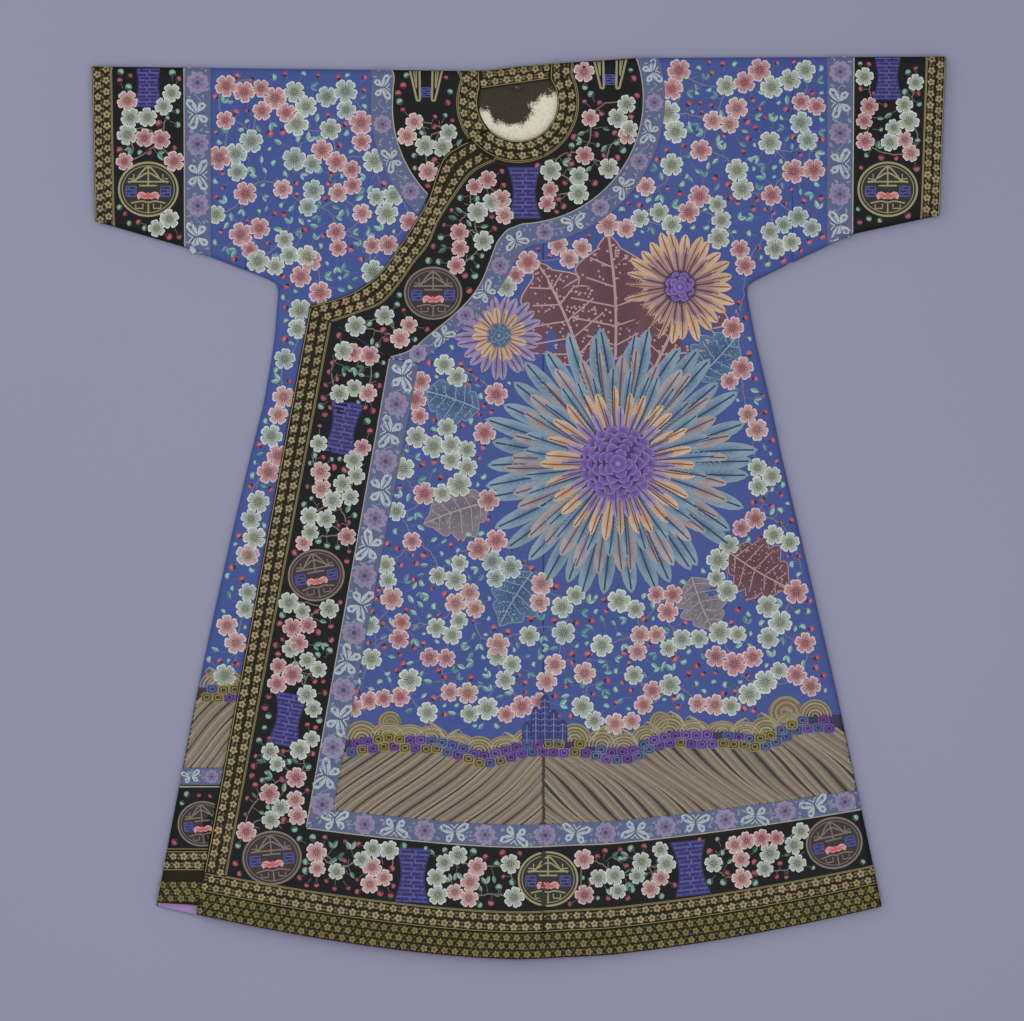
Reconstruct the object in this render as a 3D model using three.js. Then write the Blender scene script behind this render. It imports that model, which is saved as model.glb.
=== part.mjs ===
// A fur-lined silk robe laid flat, face up: two back halves, an inner front, an outer front that
// crosses it and closes at the wearer's right, wide sleeves, and the bands sewn round every edge.
// Millimetres. +Z is up from the surface that the robe lies on, +Y points to the shoulders and +X to
// the wearer's left. The origin lies on that surface, under the middle of the robe.
import * as THREE from "three";

// ---- Driving dimensions ------------------------------------------------------------------------
const SPAN = 1296; // cuff to cuff
const LENGTH = 1372; // highest point of the shoulder fold to the lowest point of the hem
const WALL = 6; // satin over fur, its pile pressed down by the layer above
const SEAM = 0.3; // space between neighbouring pieces
const TRIM = 1.2; // thickness of a band sewn onto a panel
const HEM_RISE = 82; // how far the hem climbs from its middle to the side seams
const HEM_HALF = 549; // half the width of the hem
const HEM_POWER = 1.6; // between a straight V (1) and a parabola (2)
const CENTRE_SEAM = 37; // x of the seam down the middle of the outer front
const ARMHOLE = 415; // x of the seams where the sleeves are added on
const STEP_RUN = 150; // width over which the outer front comes down past the inner one

const TOP = LENGTH / 2;
const CUFF = SPAN / 2;

// Widths of the bands, counted from the edge of the garment inwards.
const CUFF_BANDS = { brocade: 30, border: 140, ribbon: 181 };
const HEM_BANDS = { selvedge: 40, brocade: 72, border: 170, ribbon: 204 };
const HEM_BAND_TAPER = 0.1; // share by which those bands narrow towards the side seams
const FACING = 22; // silk facing inside the hem of the back
const FACING_REBATE = 1.7; // the back is thinner there, as the fur stops short of the hem

// The neck opening: an ellipse whose top is cut off by the back of the neckline.
const NECK = { x: -1.5, y: 616, rx: 60, ry: 59, ring: 91 };
const NECKLINE = { right: { x: -54, y: 637 }, left: { x: 48, y: 651 } };
const YOKE = { x: -1.5, y: 621, border: 190, ribbon: 223, rightEase: 12 };
const FUR_DEPTH = 2.6;

// The fold along the shoulders and the upper edge of the sleeves.
const SHOULDER = [
  { x: -CUFF, y: TOP - 15 },
  { x: -60, y: TOP - 22 },
  { x: 2, y: TOP - 14 },
  { x: 184, y: TOP - 2 },
  { x: CUFF, y: TOP },
];

// Side seams of the body: x on the wearer's right and left at each height.
const SIDES = [
  { y: -604, right: -550.5, left: 551 },
  { y: -291, right: -491, left: 485 },
  { y: -169, right: -465, left: 457 },
  { y: -48, right: -438, left: 429 },
  { y: 74, right: -409, left: 400 },
  { y: 165, right: -386, left: 381 },
  { y: 256, right: -371, left: 359 },
  { y: 332, right: -365, left: 345 },
];

// Under seam of each sleeve, from the cuff to the armpit.
const UNDER_RIGHT = [
  { x: -643, y: 436 },
  { x: -508, y: 397 },
  { x: -361, y: 341 },
];
const UNDER_LEFT = [
  { x: 638, y: 445 },
  { x: 505, y: 416 },
  { x: 347, y: 341 },
];

// Free edge of the outer front: from the neck to the corner under the arm, then straight down.
const OVERLAP = [
  { x: -44, y: 574.5 },
  { x: -75, y: 558.5 },
  { x: -111, y: 536 },
  { x: -125, y: 507 },
  { x: -138, y: 467 },
  { x: -161, y: 429 },
  { x: -196, y: 376 },
  { x: -219, y: 350 },
  { x: -248, y: 330 },
  { x: -277, y: 318 },
  { x: -317, y: 307 },
];
const OVERLAP_FOOT = { x: -489, y: -616 };

// Lines across the outer front that part its bands, each from the neck side to the corner.
const BROCADE_LINE = [
  { x: -38, y: 527 },
  { x: -72, y: 508 },
  { x: -103, y: 467 },
  { x: -123, y: 435 },
  { x: -138, y: 400 },
  { x: -161, y: 371 },
  { x: -181, y: 342 },
  { x: -208, y: 312 },
  { x: -242, y: 298 },
  { x: -285, y: 283 },
];
const BORDER_LINE = [
  { x: -18, y: 422 },
  { x: -33, y: 403 },
  { x: -43, y: 377 },
  { x: -56, y: 345 },
  { x: -74, y: 318 },
  { x: -100, y: 292 },
  { x: -132, y: 266 },
  { x: -164, y: 240 },
  { x: -196, y: 229 },
];
const RIBBON_LINE = [
  { x: 5, y: 391 },
  { x: -8, y: 370 },
  { x: -21, y: 346 },
  { x: -50, y: 305 },
  { x: -81, y: 277 },
  { x: -112, y: 251 },
  { x: -152, y: 220 },
];
// How far those lines lean outwards for each millimetre down the side.
const SIDE_LEAN = { brocade: 0.189, border: 0.177, ribbon: 0.192 };

// Hem of the inner front, level where it shows and close to the outer hem where it is covered.
const INNER_HEM = [
  { x: -548, y: -598 },
  { x: -486, y: -602 },
  { x: -400, y: -629 },
  { x: -200, y: -661 },
  { x: 0, y: -678 },
  { x: CENTRE_SEAM, y: -678 },
];
// Levels of the bands on the strip of the inner front that shows, from its hem upwards.
const INNER_BANDS = [
  { name: "inner_hem_selvedge", low: -597, high: -565 },
  { name: "inner_hem_brocade", low: -549, high: -519 },
  { name: "inner_hem_border", low: -516, high: -422 },
  { name: "inner_hem_ribbon", low: -419, high: -394 },
];

// Soft swells of the outer front where the fur lifts the satin: place, size, lean and height.
const SWELLS = [
  { x: -22, y: 120, length: 190, width: 40, lean: -0.05, height: 2.6 },
  { x: -75, y: -110, length: 240, width: 52, lean: -0.14, height: 2.4 },
  { x: 235, y: 170, length: 210, width: 46, lean: 0.35, height: 2.8 },
  { x: 300, y: -60, length: 260, width: 50, lean: 0.2, height: 2.6 },
  { x: 150, y: -200, length: 230, width: 54, lean: 0.1, height: 2.2 },
  { x: 390, y: -220, length: 170, width: 42, lean: 0.18, height: 2.4 },
];

// ---- Colours and finishes ----------------------------------------------------------------------
const FINISHES = {
  satin: { color: 0x4a60a8, roughness: 0.45, metalness: 0 },
  brocade: { color: 0x6b5a36, roughness: 0.55, metalness: 0.25 },
  selvedge: { color: 0x5c5523, roughness: 0.55, metalness: 0.25 },
  border: { color: 0x17181b, roughness: 0.5, metalness: 0 },
  ribbon: { color: 0x8f9cc8, roughness: 0.5, metalness: 0 },
  facing: { color: 0x9d8ac0, roughness: 0.5, metalness: 0 },
  fur: { color: 0xd8d0ba, roughness: 0.95, metalness: 0 },
};

// ---- Plan curves -------------------------------------------------------------------------------
const flip = (rows) => [...rows].reverse();
const mix = THREE.MathUtils.lerp;

/** A value read from a table of rows by straight interpolation, held level past its ends. */
function read(rows, from, to, at) {
  const ordered = rows[0][from] <= rows[rows.length - 1][from] ? rows : flip(rows);
  const above = ordered.findIndex((row) => row[from] >= at);
  if (above === 0) return ordered[0][to];
  if (above < 0) return ordered[ordered.length - 1][to];
  const [low, high] = [ordered[above - 1], ordered[above]];
  return mix(low[to], high[to], (at - low[from]) / (high[from] - low[from]));
}

/** Points spaced evenly along a smooth curve through the rows of a table. */
function smoothLine(rows, steps) {
  const curve = new THREE.SplineCurve(rows.map(({ x, y }) => new THREE.Vector2(x, y)));
  return curve.getSpacedPoints(steps);
}

/** Points on an arc about a centre, both angles in degrees from +X. */
function arc(centre, radiusX, radiusY, from, to, steps) {
  return Array.from({ length: steps + 1 }, (_, i) => {
    const angle = THREE.MathUtils.degToRad(mix(from, to, i / steps));
    return new THREE.Vector2(centre.x + radiusX * Math.cos(angle), centre.y + radiusY * Math.sin(angle));
  });
}

/** A line moved sideways: plan offset in x and y. */
const moved = (line, dx, dy) => line.map((p) => new THREE.Vector2(p.x + dx, p.y + dy));

/** The same line with its points spaced evenly. */
function respaced(line, steps) {
  const path = new THREE.CurvePath();
  for (let i = 1; i < line.length; i += 1) path.add(new THREE.LineCurve(line[i - 1], line[i]));
  return path.getSpacedPoints(steps).slice(0, steps + 1);
}

const shoulderY = (x) => read(SHOULDER, "x", "y", x);
const hemY = (x) => -TOP + HEM_RISE * (Math.abs(x) / HEM_HALF) ** HEM_POWER;
const bandTaper = (x) => 1 - HEM_BAND_TAPER * (x / HEM_HALF) ** 2;
const overlapX = (y) => read([OVERLAP[OVERLAP.length - 1], OVERLAP_FOOT], "y", "x", y);

/** The body's outer edge at a height: side seam, then under seam, then the seam with the sleeve. */
function bodyEdge(side, y) {
  const sign = side === "right" ? -1 : 1;
  const under = side === "right" ? UNDER_RIGHT : UNDER_LEFT;
  const armpit = under[under.length - 1];
  if (y <= armpit.y) return read([...SIDES, { y: armpit.y, [side]: armpit.x }], "y", side, y);
  const x = read(under, "y", "x", y);
  return Math.abs(x) < ARMHOLE ? x : sign * (ARMHOLE - SEAM / 2);
}

/** Height at which the under seam of a sleeve meets the seam that joins it to the body. */
const armholeFoot = (under) => read(under, "x", "y", Math.sign(under[0].x) * ARMHOLE);

/** Half the width of the neck opening at a height. */
const neckHalf = (y) => NECK.rx * Math.sqrt(Math.max(0, 1 - ((y - NECK.y) / NECK.ry) ** 2));

// ---- Heights -----------------------------------------------------------------------------------
const smoothstep = THREE.MathUtils.smoothstep;
const LOWER = WALL + SEAM; // underside of what lies on the back
const UPPER = 2 * (WALL + SEAM); // underside of what lies on the inner front

/** Height of the swells at a point: each is a cosine hump that ends at zero all round. */
function swell(x, y) {
  return SWELLS.reduce((sum, hump) => {
    const along = (y - hump.y) / hump.length;
    const across = (x - hump.x - hump.lean * (y - hump.y)) / hump.width;
    if (Math.abs(along) >= 1 || Math.abs(across) >= 1) return sum;
    return sum + hump.height * Math.cos((along * Math.PI) / 2) ** 2 * Math.cos((across * Math.PI) / 2) ** 2;
  }, 0);
}

const onSurface = () => 0;
const onBack = () => LOWER;
/** Underside of the outer front: on the inner front as far as the centre seam, then down to the back. */
const onInner = (x, y) => mix(UPPER, LOWER, smoothstep(x, CENTRE_SEAM, CENTRE_SEAM + STEP_RUN)) + swell(x, y);
const above = (surface, lift) => (x, y) => surface(x, y) + lift;

// ---- Solids ------------------------------------------------------------------------------------
const robe = new THREE.Group();

/** A closed wall over a grid of plan points, rows[i][j], between two height functions. */
function wall(rows, under, upper) {
  const [last, wide] = [rows.length - 1, rows[0].length];
  const positions = [];
  for (const surface of [under, upper])
    for (const row of rows) for (const { x, y } of row) positions.push(x, y, surface(x, y));
  const bottom = (i, j) => i * wide + j;
  const top = (i, j) => rows.length * wide + bottom(i, j);
  const faces = [];
  const quad = (a, b, c, d) => faces.push(a, b, c, a, c, d);
  for (let i = 0; i < last; i += 1)
    for (let j = 0; j < wide - 1; j += 1) {
      quad(top(i, j), top(i, j + 1), top(i + 1, j + 1), top(i + 1, j));
      quad(bottom(i, j), bottom(i + 1, j), bottom(i + 1, j + 1), bottom(i, j + 1));
    }
  const rim = [];
  for (let j = 0; j < wide - 1; j += 1) rim.push([0, j]);
  for (let i = 0; i < last; i += 1) rim.push([i, wide - 1]);
  for (let j = wide - 1; j > 0; j -= 1) rim.push([last, j]);
  for (let i = last; i > 0; i -= 1) rim.push([i, 0]);
  rim.forEach((here, k) => {
    const next = rim[(k + 1) % rim.length];
    quad(bottom(...here), bottom(...next), top(...next), top(...here));
  });
  const outline = rim.map(([i, j]) => rows[i][j]);
  const clockwise = THREE.ShapeUtils.area(outline) < 0;
  if (clockwise) faces.reverse();
  const geometry = new THREE.BufferGeometry();
  geometry.setAttribute("position", new THREE.Float32BufferAttribute(positions, 3));
  geometry.setIndex(faces);
  geometry.computeVertexNormals();
  return geometry;
}

/** Adds one named piece of cloth to the robe. */
function sew(name, finish, rows, under, thickness) {
  const upper = typeof thickness === "function" ? thickness : above(under, thickness);
  const mesh = new THREE.Mesh(wall(rows, under, upper), new THREE.MeshStandardMaterial(FINISHES[finish]));
  mesh.name = name;
  robe.add(mesh);
}

/** Rows of plan points between two lines of as many points each. */
function between(first, second, across) {
  return Array.from({ length: across + 1 }, (_, i) =>
    first.map((p, j) => new THREE.Vector2(mix(p.x, second[j].x, i / across), mix(p.y, second[j].y, i / across))),
  );
}

/** One row of a panel: heights(x) gives y, edges(y) gives its two ends, shares place the points. */
function crossRow(heights, edges, shares) {
  const [left, right] = [0, 1].map((end) => {
    let x = edges(heights(0))[end];
    for (let pass = 0; pass < 6; pass += 1) x = edges(heights(x))[end];
    return x;
  });
  return shares.map((share) => {
    const x = mix(left, right, share);
    return new THREE.Vector2(x, heights(x));
  });
}

const evenShares = (count) => Array.from({ length: count + 1 }, (_, i) => i / count);

/** A level row, bent to follow the hem by the given amount: 1 at the hem, 0 higher up. */
const level = (y, bend = 0) => (x) => y + bend * (hemY(x) + TOP);
const hemRow = (lift) => (x) => hemY(x) + lift;
const shoulderRow = (x) => shoulderY(x);

// ---- Back --------------------------------------------------------------------------------------
/** Upper face of a back half, let down over the facing inside the hem. */
const backUpper = (x, y) => WALL - (y - hemY(x) < FACING + 1 ? FACING_REBATE : 0);

for (const side of ["right", "left"]) {
  const seam = side === "right" ? -SEAM / 2 : SEAM / 2;
  const under = side === "right" ? UNDER_RIGHT : UNDER_LEFT;
  const edges = (y) => (side === "right" ? [bodyEdge(side, y), seam] : [seam, bodyEdge(side, y)]);
  const heights = [
    hemRow(0), hemRow(FACING + 0.5), hemRow(FACING + 2), level(-560, 0.8), level(-420, 0.5),
    ...SIDES.slice(1).map(({ y }) => level(y)), level(341), level(armholeFoot(under)), level(500), shoulderRow,
  ];
  sew(`back_${side}`, "satin", heights.map((row) => crossRow(row, edges, evenShares(6))), onSurface, backUpper);
}

const facingShares = evenShares(24);
const bodyEdges = (y) => [bodyEdge("right", y), bodyEdge("left", y)];
sew(
  "hem_facing",
  "facing",
  [hemRow(0), hemRow(FACING)].map((row) => crossRow(row, bodyEdges, facingShares)),
  () => WALL - FACING_REBATE + SEAM,
  FACING_REBATE - SEAM,
);

// ---- Sleeves and their cuffs -------------------------------------------------------------------
/** A line across a sleeve, from its under seam to the shoulder fold, a distance in from the cuff. */
function sleeveLine(side, inwards) {
  const sign = side === "right" ? -1 : 1;
  const under = side === "right" ? UNDER_RIGHT : UNDER_LEFT;
  const slant = Math.max(0, 1 - inwards / CUFF_BANDS.ribbon);
  const foot = sign * (CUFF - inwards) + (under[0].x - sign * CUFF) * slant;
  const head = sign * (CUFF - inwards);
  return [new THREE.Vector2(foot, read(under, "x", "y", foot)), new THREE.Vector2(head, shoulderY(head))];
}

const sleeveRows = (side, distances, across) =>
  distances.map((inwards) => {
    const [foot, head] = sleeveLine(side, inwards);
    return evenShares(across).map((share) => new THREE.Vector2(mix(foot.x, head.x, share), mix(foot.y, head.y, share)));
  });

for (const side of ["right", "left"]) {
  const root = CUFF - ARMHOLE - SEAM / 2;
  const kink = CUFF_BANDS.border;
  const panelRows = sleeveRows(side, [0, 35, 70, 105, kink, 185, root], 5);
  sew(`sleeve_${side}_back`, "satin", panelRows, onSurface, WALL);
  sew(`sleeve_${side}_front`, "satin", panelRows, onBack, WALL);
  const { brocade, border, ribbon } = CUFF_BANDS;
  for (const [name, finish, from, to] of [
    ["brocade", "brocade", 0, brocade],
    ["border", "border", brocade + SEAM, border],
    ["ribbon", "ribbon", border + SEAM, ribbon],
  ])
    sew(`cuff_${side}_${name}`, finish, sleeveRows(side, [from, to], 2), above(onBack, WALL + SEAM), TRIM);
}

// ---- Inner front -------------------------------------------------------------------------------
/** The inner front runs from the right side to the neck, and below the neck on to the centre seam. */
const NECK_FOOT = NECK.y - NECK.ry;
function innerEdges(y) {
  const left = y < NECK_FOOT ? CENTRE_SEAM - SEAM : Math.min(NECK.x - neckHalf(Math.min(y, NECKLINE.right.y)), NECK.x - 4);
  return [bodyEdge("right", y), left];
}
const innerHemRow = (lift) => (x) => read(INNER_HEM, "x", "y", x) + lift;
sew(
  "front_inner",
  "satin",
  [
    innerHemRow(0), innerHemRow(70), level(-480, 0.2), level(-400), level(-291), level(-169), level(-48), level(74),
    level(165), level(256), level(332), level(341), level(armholeFoot(UNDER_RIGHT)), level(420), level(490),
    level(NECK_FOOT - 1), level(NECK_FOOT + 0.5), level(NECK_FOOT + 8), level(578), level(596), level(616),
    level(NECKLINE.right.y), shoulderRow,
  ].map((row) => crossRow(row, innerEdges, evenShares(8))),
  onBack,
  WALL,
);

const onInnerFront = above(onBack, WALL + SEAM);
for (const { name, low, high } of INNER_BANDS) {
  const edges = (y) => [bodyEdge("right", y), overlapX(y) - SEAM];
  const finish = name.replace("inner_hem_", "");
  sew(name, finish, [level(low), level(high)].map((row) => crossRow(row, edges, evenShares(2))), onInnerFront, TRIM);
}

// ---- Outer front -------------------------------------------------------------------------------
const OUTER_HEM_LIFT = 3; // the outer front stops this far above the hem of the back
const outerHem = (x) => hemY(x) + OUTER_HEM_LIFT * (1 - smoothstep(x, 60, 150));
const NECK_END = -47; // angle at which the centre seam meets the neck opening, in degrees

{
  const neckEdge = arc(NECK, NECK.rx, NECK.ry, -135, NECK_END, 8).slice(1);
  const head = [...smoothLine(flip(OVERLAP), 22), ...neckEdge];
  head[head.length - 1].x = CENTRE_SEAM - SEAM / 2;
  const reach = head[head.length - 1].x - head[0].x;
  const foot = head.map(({ x }) => {
    const footX = mix(OVERLAP_FOOT.x, CENTRE_SEAM - SEAM / 2, (x - head[0].x) / reach);
    return new THREE.Vector2(footX, outerHem(footX));
  });
  sew("front_overlap", "satin", between(foot, head, 18), onInner, WALL);
}

/** From the centre seam, or the neck opening above it, to the left side seam. */
function outerEdges(y) {
  const seam = CENTRE_SEAM + SEAM / 2;
  const neck = NECK.x + neckHalf(Math.min(y, NECKLINE.left.y));
  return [y > NECK_FOOT ? Math.max(seam, neck) : seam, bodyEdge("left", y)];
}
const stepShares = [0, 1, 2, 3, 4, 5, 6, 7].map((i) => (i * STEP_RUN) / 7);
/** Points of a row: evenly over the step down past the inner front, then evenly to the side. */
function outerRow(heights) {
  const [start, end] = crossRow(heights, outerEdges, [0, 1]);
  const stepEnd = CENTRE_SEAM + STEP_RUN;
  const xs = [
    ...stepShares.map((run) => mix(start.x, stepEnd, run / STEP_RUN)),
    ...evenShares(9).slice(1).map((share) => mix(stepEnd, end.x, share)),
  ];
  return xs.map((x) => new THREE.Vector2(x, heights(x)));
}
sew(
  "front_left",
  "satin",
  [
    outerHem, level(-600, 0.85), level(-500, 0.7), level(-400, 0.5), level(-330, 0.2), level(-291), level(-230),
    level(-169), level(-108), level(-48), level(13), level(74), level(120), level(165), level(210), level(256),
    level(332), level(341), level(armholeFoot(UNDER_LEFT)), level(430), level(500), level(557), level(571),
    level(586), level(601), level(620), level(NECKLINE.left.y), shoulderRow,
  ].map(outerRow),
  onInner,
  WALL,
);

// ---- Bands of the outer front ------------------------------------------------------------------
const onOuter = above(onInner, WALL + SEAM);
const BAND_STEPS = { yoke: 16, curve: 12, right: 9 };

/** The head of a line, on the shoulder fold. */
const onShoulder = (x) => new THREE.Vector2(x, shoulderY(x));

const neckInside = [onShoulder(48.5), ...arc(NECK, NECK.rx, NECK.ry, 36, -135, 18)];
const neckOutside = [onShoulder(81), ...arc(NECK, NECK.ring, NECK.ring, 26, -142, 18)];
sew("neck_band_left", "brocade", between(neckInside, neckOutside, 2), onOuter, TRIM);

// The round yoke, cut as border and ribbon, runs on into the curve that follows the free edge.
const yokeInside = [
  onShoulder(82),
  ...arc(NECK, NECK.ring + 1, NECK.ring + 1, 26, -112, BAND_STEPS.yoke),
  ...moved(smoothLine(BROCADE_LINE, BAND_STEPS.curve), 0.4, -0.4),
];
const yokeMiddle = [
  onShoulder(178),
  ...arc(YOKE, YOKE.border, YOKE.border, 17, -88, BAND_STEPS.yoke),
  ...smoothLine(BORDER_LINE, BAND_STEPS.curve),
];
const yokeOutside = [
  onShoulder(213),
  ...arc(YOKE, YOKE.ribbon, YOKE.ribbon, 14, -84, BAND_STEPS.yoke),
  ...smoothLine(RIBBON_LINE, BAND_STEPS.curve),
];
sew("yoke_border_left", "border", between(yokeInside, yokeMiddle, 5), onOuter, TRIM);
sew("yoke_ribbon_left", "ribbon", between(moved(yokeMiddle, 0.3, -0.3), yokeOutside, 2), onOuter, TRIM);

const freeEdge = moved(smoothLine(OVERLAP.slice(1), BAND_STEPS.curve), 0, -0.5);
freeEdge[0].set(-77.5, 554.5);
const brocadeLine = smoothLine(BROCADE_LINE, BAND_STEPS.curve);
sew("edge_brocade_curve", "brocade", between(freeEdge, brocadeLine, 1), onOuter, TRIM);

/** A point on one of the side lines, which start at a corner and lean outwards as they go down. */
const sidePoint = (corner, lean, y) => new THREE.Vector2(corner.x + lean * (y - corner.y), y);
/** Where a side line meets a line parallel to the hem. */
function sideFoot(corner, lean, band) {
  let y = -TOP;
  for (let pass = 0; pass < 8; pass += 1) {
    const { x } = sidePoint(corner, lean, y);
    y = outerHem(x) + band * bandTaper(x);
  }
  return sidePoint(corner, lean, y);
}
const corners = {
  edge: OVERLAP[OVERLAP.length - 1],
  brocade: BROCADE_LINE[BROCADE_LINE.length - 1],
  border: BORDER_LINE[BORDER_LINE.length - 1],
  ribbon: RIBBON_LINE[RIBBON_LINE.length - 1],
};
const MITRE = 1.5; // room at the slanting joints under the corner
const edgeLean = (OVERLAP_FOOT.x - corners.edge.x) / (OVERLAP_FOOT.y - corners.edge.y);
const { selvedge, brocade, border, ribbon } = HEM_BANDS;
/** A side band between two leaning lines, cut on the slant at its head and at its foot. */
function sideBand(name, finish, near, far) {
  const line = ({ corner, lean, foot }, shift) => {
    const start = new THREE.Vector2(corner.x + shift, corner.y - MITRE);
    return respaced([start, sideFoot({ x: corner.x + shift, y: corner.y }, lean, foot)], 6);
  };
  sew(name, finish, between(line(near, 0.3), line(far, 0), 1), onOuter, TRIM);
}
const sideLines = {
  edge: { corner: corners.edge, lean: edgeLean, foot: brocade + SEAM },
  brocade: { corner: corners.brocade, lean: SIDE_LEAN.brocade, foot: brocade + SEAM },
  border: { corner: corners.border, lean: SIDE_LEAN.border, foot: border + SEAM },
  ribbon: { corner: corners.ribbon, lean: SIDE_LEAN.ribbon, foot: ribbon + SEAM },
};
sideBand("side_brocade", "brocade", sideLines.edge, sideLines.brocade);
sideBand("side_border", "border", sideLines.brocade, sideLines.border);
sideBand("side_ribbon", "ribbon", sideLines.border, sideLines.ribbon);

/** A band along the hem between two distances from it, starting at one of the side lines. */
function hemBand(name, finish, from, to, startFrom, startTo) {
  const line = (band, start) => {
    const height = (x) => outerHem(x) + band * bandTaper(x);
    let end = bodyEdge("left", height(HEM_HALF));
    for (let pass = 0; pass < 6; pass += 1) end = bodyEdge("left", height(end));
    const stepEnd = CENTRE_SEAM + STEP_RUN;
    return [
      ...evenShares(6).map((share) => mix(start, 0, share)),
      ...evenShares(9).slice(1).map((share) => mix(0, stepEnd, share)),
      ...evenShares(6).slice(1).map((share) => mix(stepEnd, end, share)),
    ].map((x) => new THREE.Vector2(x, height(x)));
  };
  sew(name, finish, between(line(from, startFrom), line(to, startTo), 1), onOuter, TRIM);
}
const edgeX = (band) => sideFoot(corners.edge, edgeLean, band).x + SEAM;
const slantX = (line) => sideFoot(line.corner, line.lean, line.foot).x + SEAM;
hemBand("hem_selvedge", "selvedge", 0, selvedge, edgeX(0), edgeX(selvedge));
hemBand("hem_brocade", "brocade", selvedge + SEAM, brocade, edgeX(selvedge), edgeX(brocade));
hemBand("hem_border", "border", brocade + SEAM, border, slantX(sideLines.brocade), slantX(sideLines.border));
hemBand("hem_ribbon", "ribbon", border + SEAM, ribbon, slantX(sideLines.border), slantX(sideLines.ribbon));

// ---- Neck and yoke on the inner front ----------------------------------------------------------
const overlapEdge = smoothLine(OVERLAP, 44);
const CLEAR_OF_OVERLAP = 2;
const coverX = (y) => read(overlapEdge, "y", "x", y) - CLEAR_OF_OVERLAP;
/** Rows of a band whose end is trimmed along the edge of the outer front. */
const trimmed = (rows) => rows.map((row) => row.map(({ x, y }) => new THREE.Vector2(Math.min(x, coverX(y)), y)));

/** The stretch of a line that shows before it runs under the outer front, evenly spaced. */
function untilOverlap(line) {
  const shows = (p) => p.x < coverX(p.y);
  const last = line.findIndex((p, i) => i > 0 && !shows(p));
  let [seen, hidden] = [line[last - 1], line[last]];
  for (let pass = 0; pass < 12; pass += 1) {
    const middle = seen.clone().lerp(hidden, 0.5);
    if (shows(middle)) seen = middle;
    else hidden = middle;
  }
  return respaced([...line.slice(0, last), seen], BAND_STEPS.right);
}

/** A round line of the yoke on the wearer's right: it opens out a little on its way down. */
function rightYokeLine(radius, from) {
  const line = Array.from({ length: 40 }, (_, i) => {
    const angle = THREE.MathUtils.degToRad(from + 2 * i);
    const eased = radius + YOKE.rightEase * Math.max(0, -Math.sin(angle));
    return new THREE.Vector2(YOKE.x + eased * Math.cos(angle), YOKE.y + eased * Math.sin(angle));
  });
  return untilOverlap([onShoulder(line[0].x - 4), ...line]);
}
const ringLine = (radius, head, from) => untilOverlap([onShoulder(head), ...arc(NECK, radius, radius, from, 250, 40)]);
const rightRing = ringLine(NECK.rx + 1.5, -60.5, 160);
const rightRingOut = ringLine(NECK.ring + 1, -92, 158);
const rightYokeIn = ringLine(NECK.ring + 2, -93.5, 158);
const rightYokeMid = rightYokeLine(YOKE.border, 170);
const rightYokeOut = rightYokeLine(YOKE.ribbon, 172);
sew("neck_band_right", "brocade", between(rightRing, rightRingOut, 1), onInnerFront, TRIM);
sew("yoke_border_right", "border", trimmed(between(rightYokeIn, rightYokeMid, 6)), onInnerFront, TRIM);
sew("yoke_ribbon_right", "ribbon", between(moved(rightYokeMid, -0.5, -0.2), rightYokeOut, 1), onInnerFront, TRIM);

// ---- Back of the neck and the fur that shows in the opening ------------------------------------
{
  const line = [NECKLINE.right, NECKLINE.left].map(({ x, y }) => new THREE.Vector2(x, y));
  const lowEdge = respaced([line[0].add({ x: 1, y: 0.6 }), line[1].add({ x: -1.5, y: 0.6 })], 8);
  const highEdge = lowEdge.map(({ x }) => onShoulder(x));
  sew("neck_band_back", "brocade", between(lowEdge, highEdge, 1), onBack, WALL + SEAM + TRIM);

  const rim = 2;
  const chordY = (x) => mix(NECKLINE.right.y, NECKLINE.left.y, (x - NECKLINE.right.x) / 102) - rim;
  const columns = evenShares(10).map((share) => mix(-48, 45, share));
  const lowRim = columns.map((x) => {
    const part = (x - NECK.x) / (NECK.rx - rim);
    return new THREE.Vector2(x, NECK.y - (NECK.ry - rim) * Math.sqrt(1 - part * part));
  });
  const highRim = columns.map((x) => new THREE.Vector2(x, chordY(x)));
  const dome = (x, y) => {
    const away = Math.hypot((x - NECK.x) / NECK.rx, (y - NECK.y + 8) / NECK.ry);
    return LOWER + FUR_DEPTH * Math.max(0.35, 1 - 0.5 * away * away);
  };
  sew("neck_fur", "fur", between(lowRim, highRim, 5), onBack, dome);
}

export default robe;
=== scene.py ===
"""Looks of a fur-lined silk robe that lies flat, face up.

Plan sizes are millimetres until a mesh is made. Right and left are the wearer's, so the wearer's
right is at -X. The shoulders are at +Y and +Z is up from the surface that the robe lies on.
"""
import logging
import math
from dataclasses import dataclass, field
from enum import Enum
from functools import cached_property
from typing import Callable, Sequence

import bpy
import numpy as np
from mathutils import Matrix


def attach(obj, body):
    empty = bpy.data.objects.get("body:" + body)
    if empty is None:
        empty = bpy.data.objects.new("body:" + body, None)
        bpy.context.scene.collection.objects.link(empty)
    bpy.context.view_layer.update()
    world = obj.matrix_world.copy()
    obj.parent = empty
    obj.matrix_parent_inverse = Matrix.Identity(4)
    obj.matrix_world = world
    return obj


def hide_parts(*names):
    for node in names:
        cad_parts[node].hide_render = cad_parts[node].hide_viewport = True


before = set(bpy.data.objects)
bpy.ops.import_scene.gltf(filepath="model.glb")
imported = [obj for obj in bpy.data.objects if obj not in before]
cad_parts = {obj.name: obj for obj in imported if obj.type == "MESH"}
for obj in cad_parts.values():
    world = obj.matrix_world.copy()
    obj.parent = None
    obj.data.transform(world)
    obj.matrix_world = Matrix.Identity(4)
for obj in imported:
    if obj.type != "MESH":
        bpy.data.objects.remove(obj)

LOG = logging.getLogger("robe")
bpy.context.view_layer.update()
MM = 0.001
TINY = 1e-9
LEAST_WALL = 0.05

Array = np.ndarray
Surface = Callable[[Array, Array], Array]
Points = Sequence[tuple[float, float]]
Colour = tuple[float, float, float]


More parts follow.
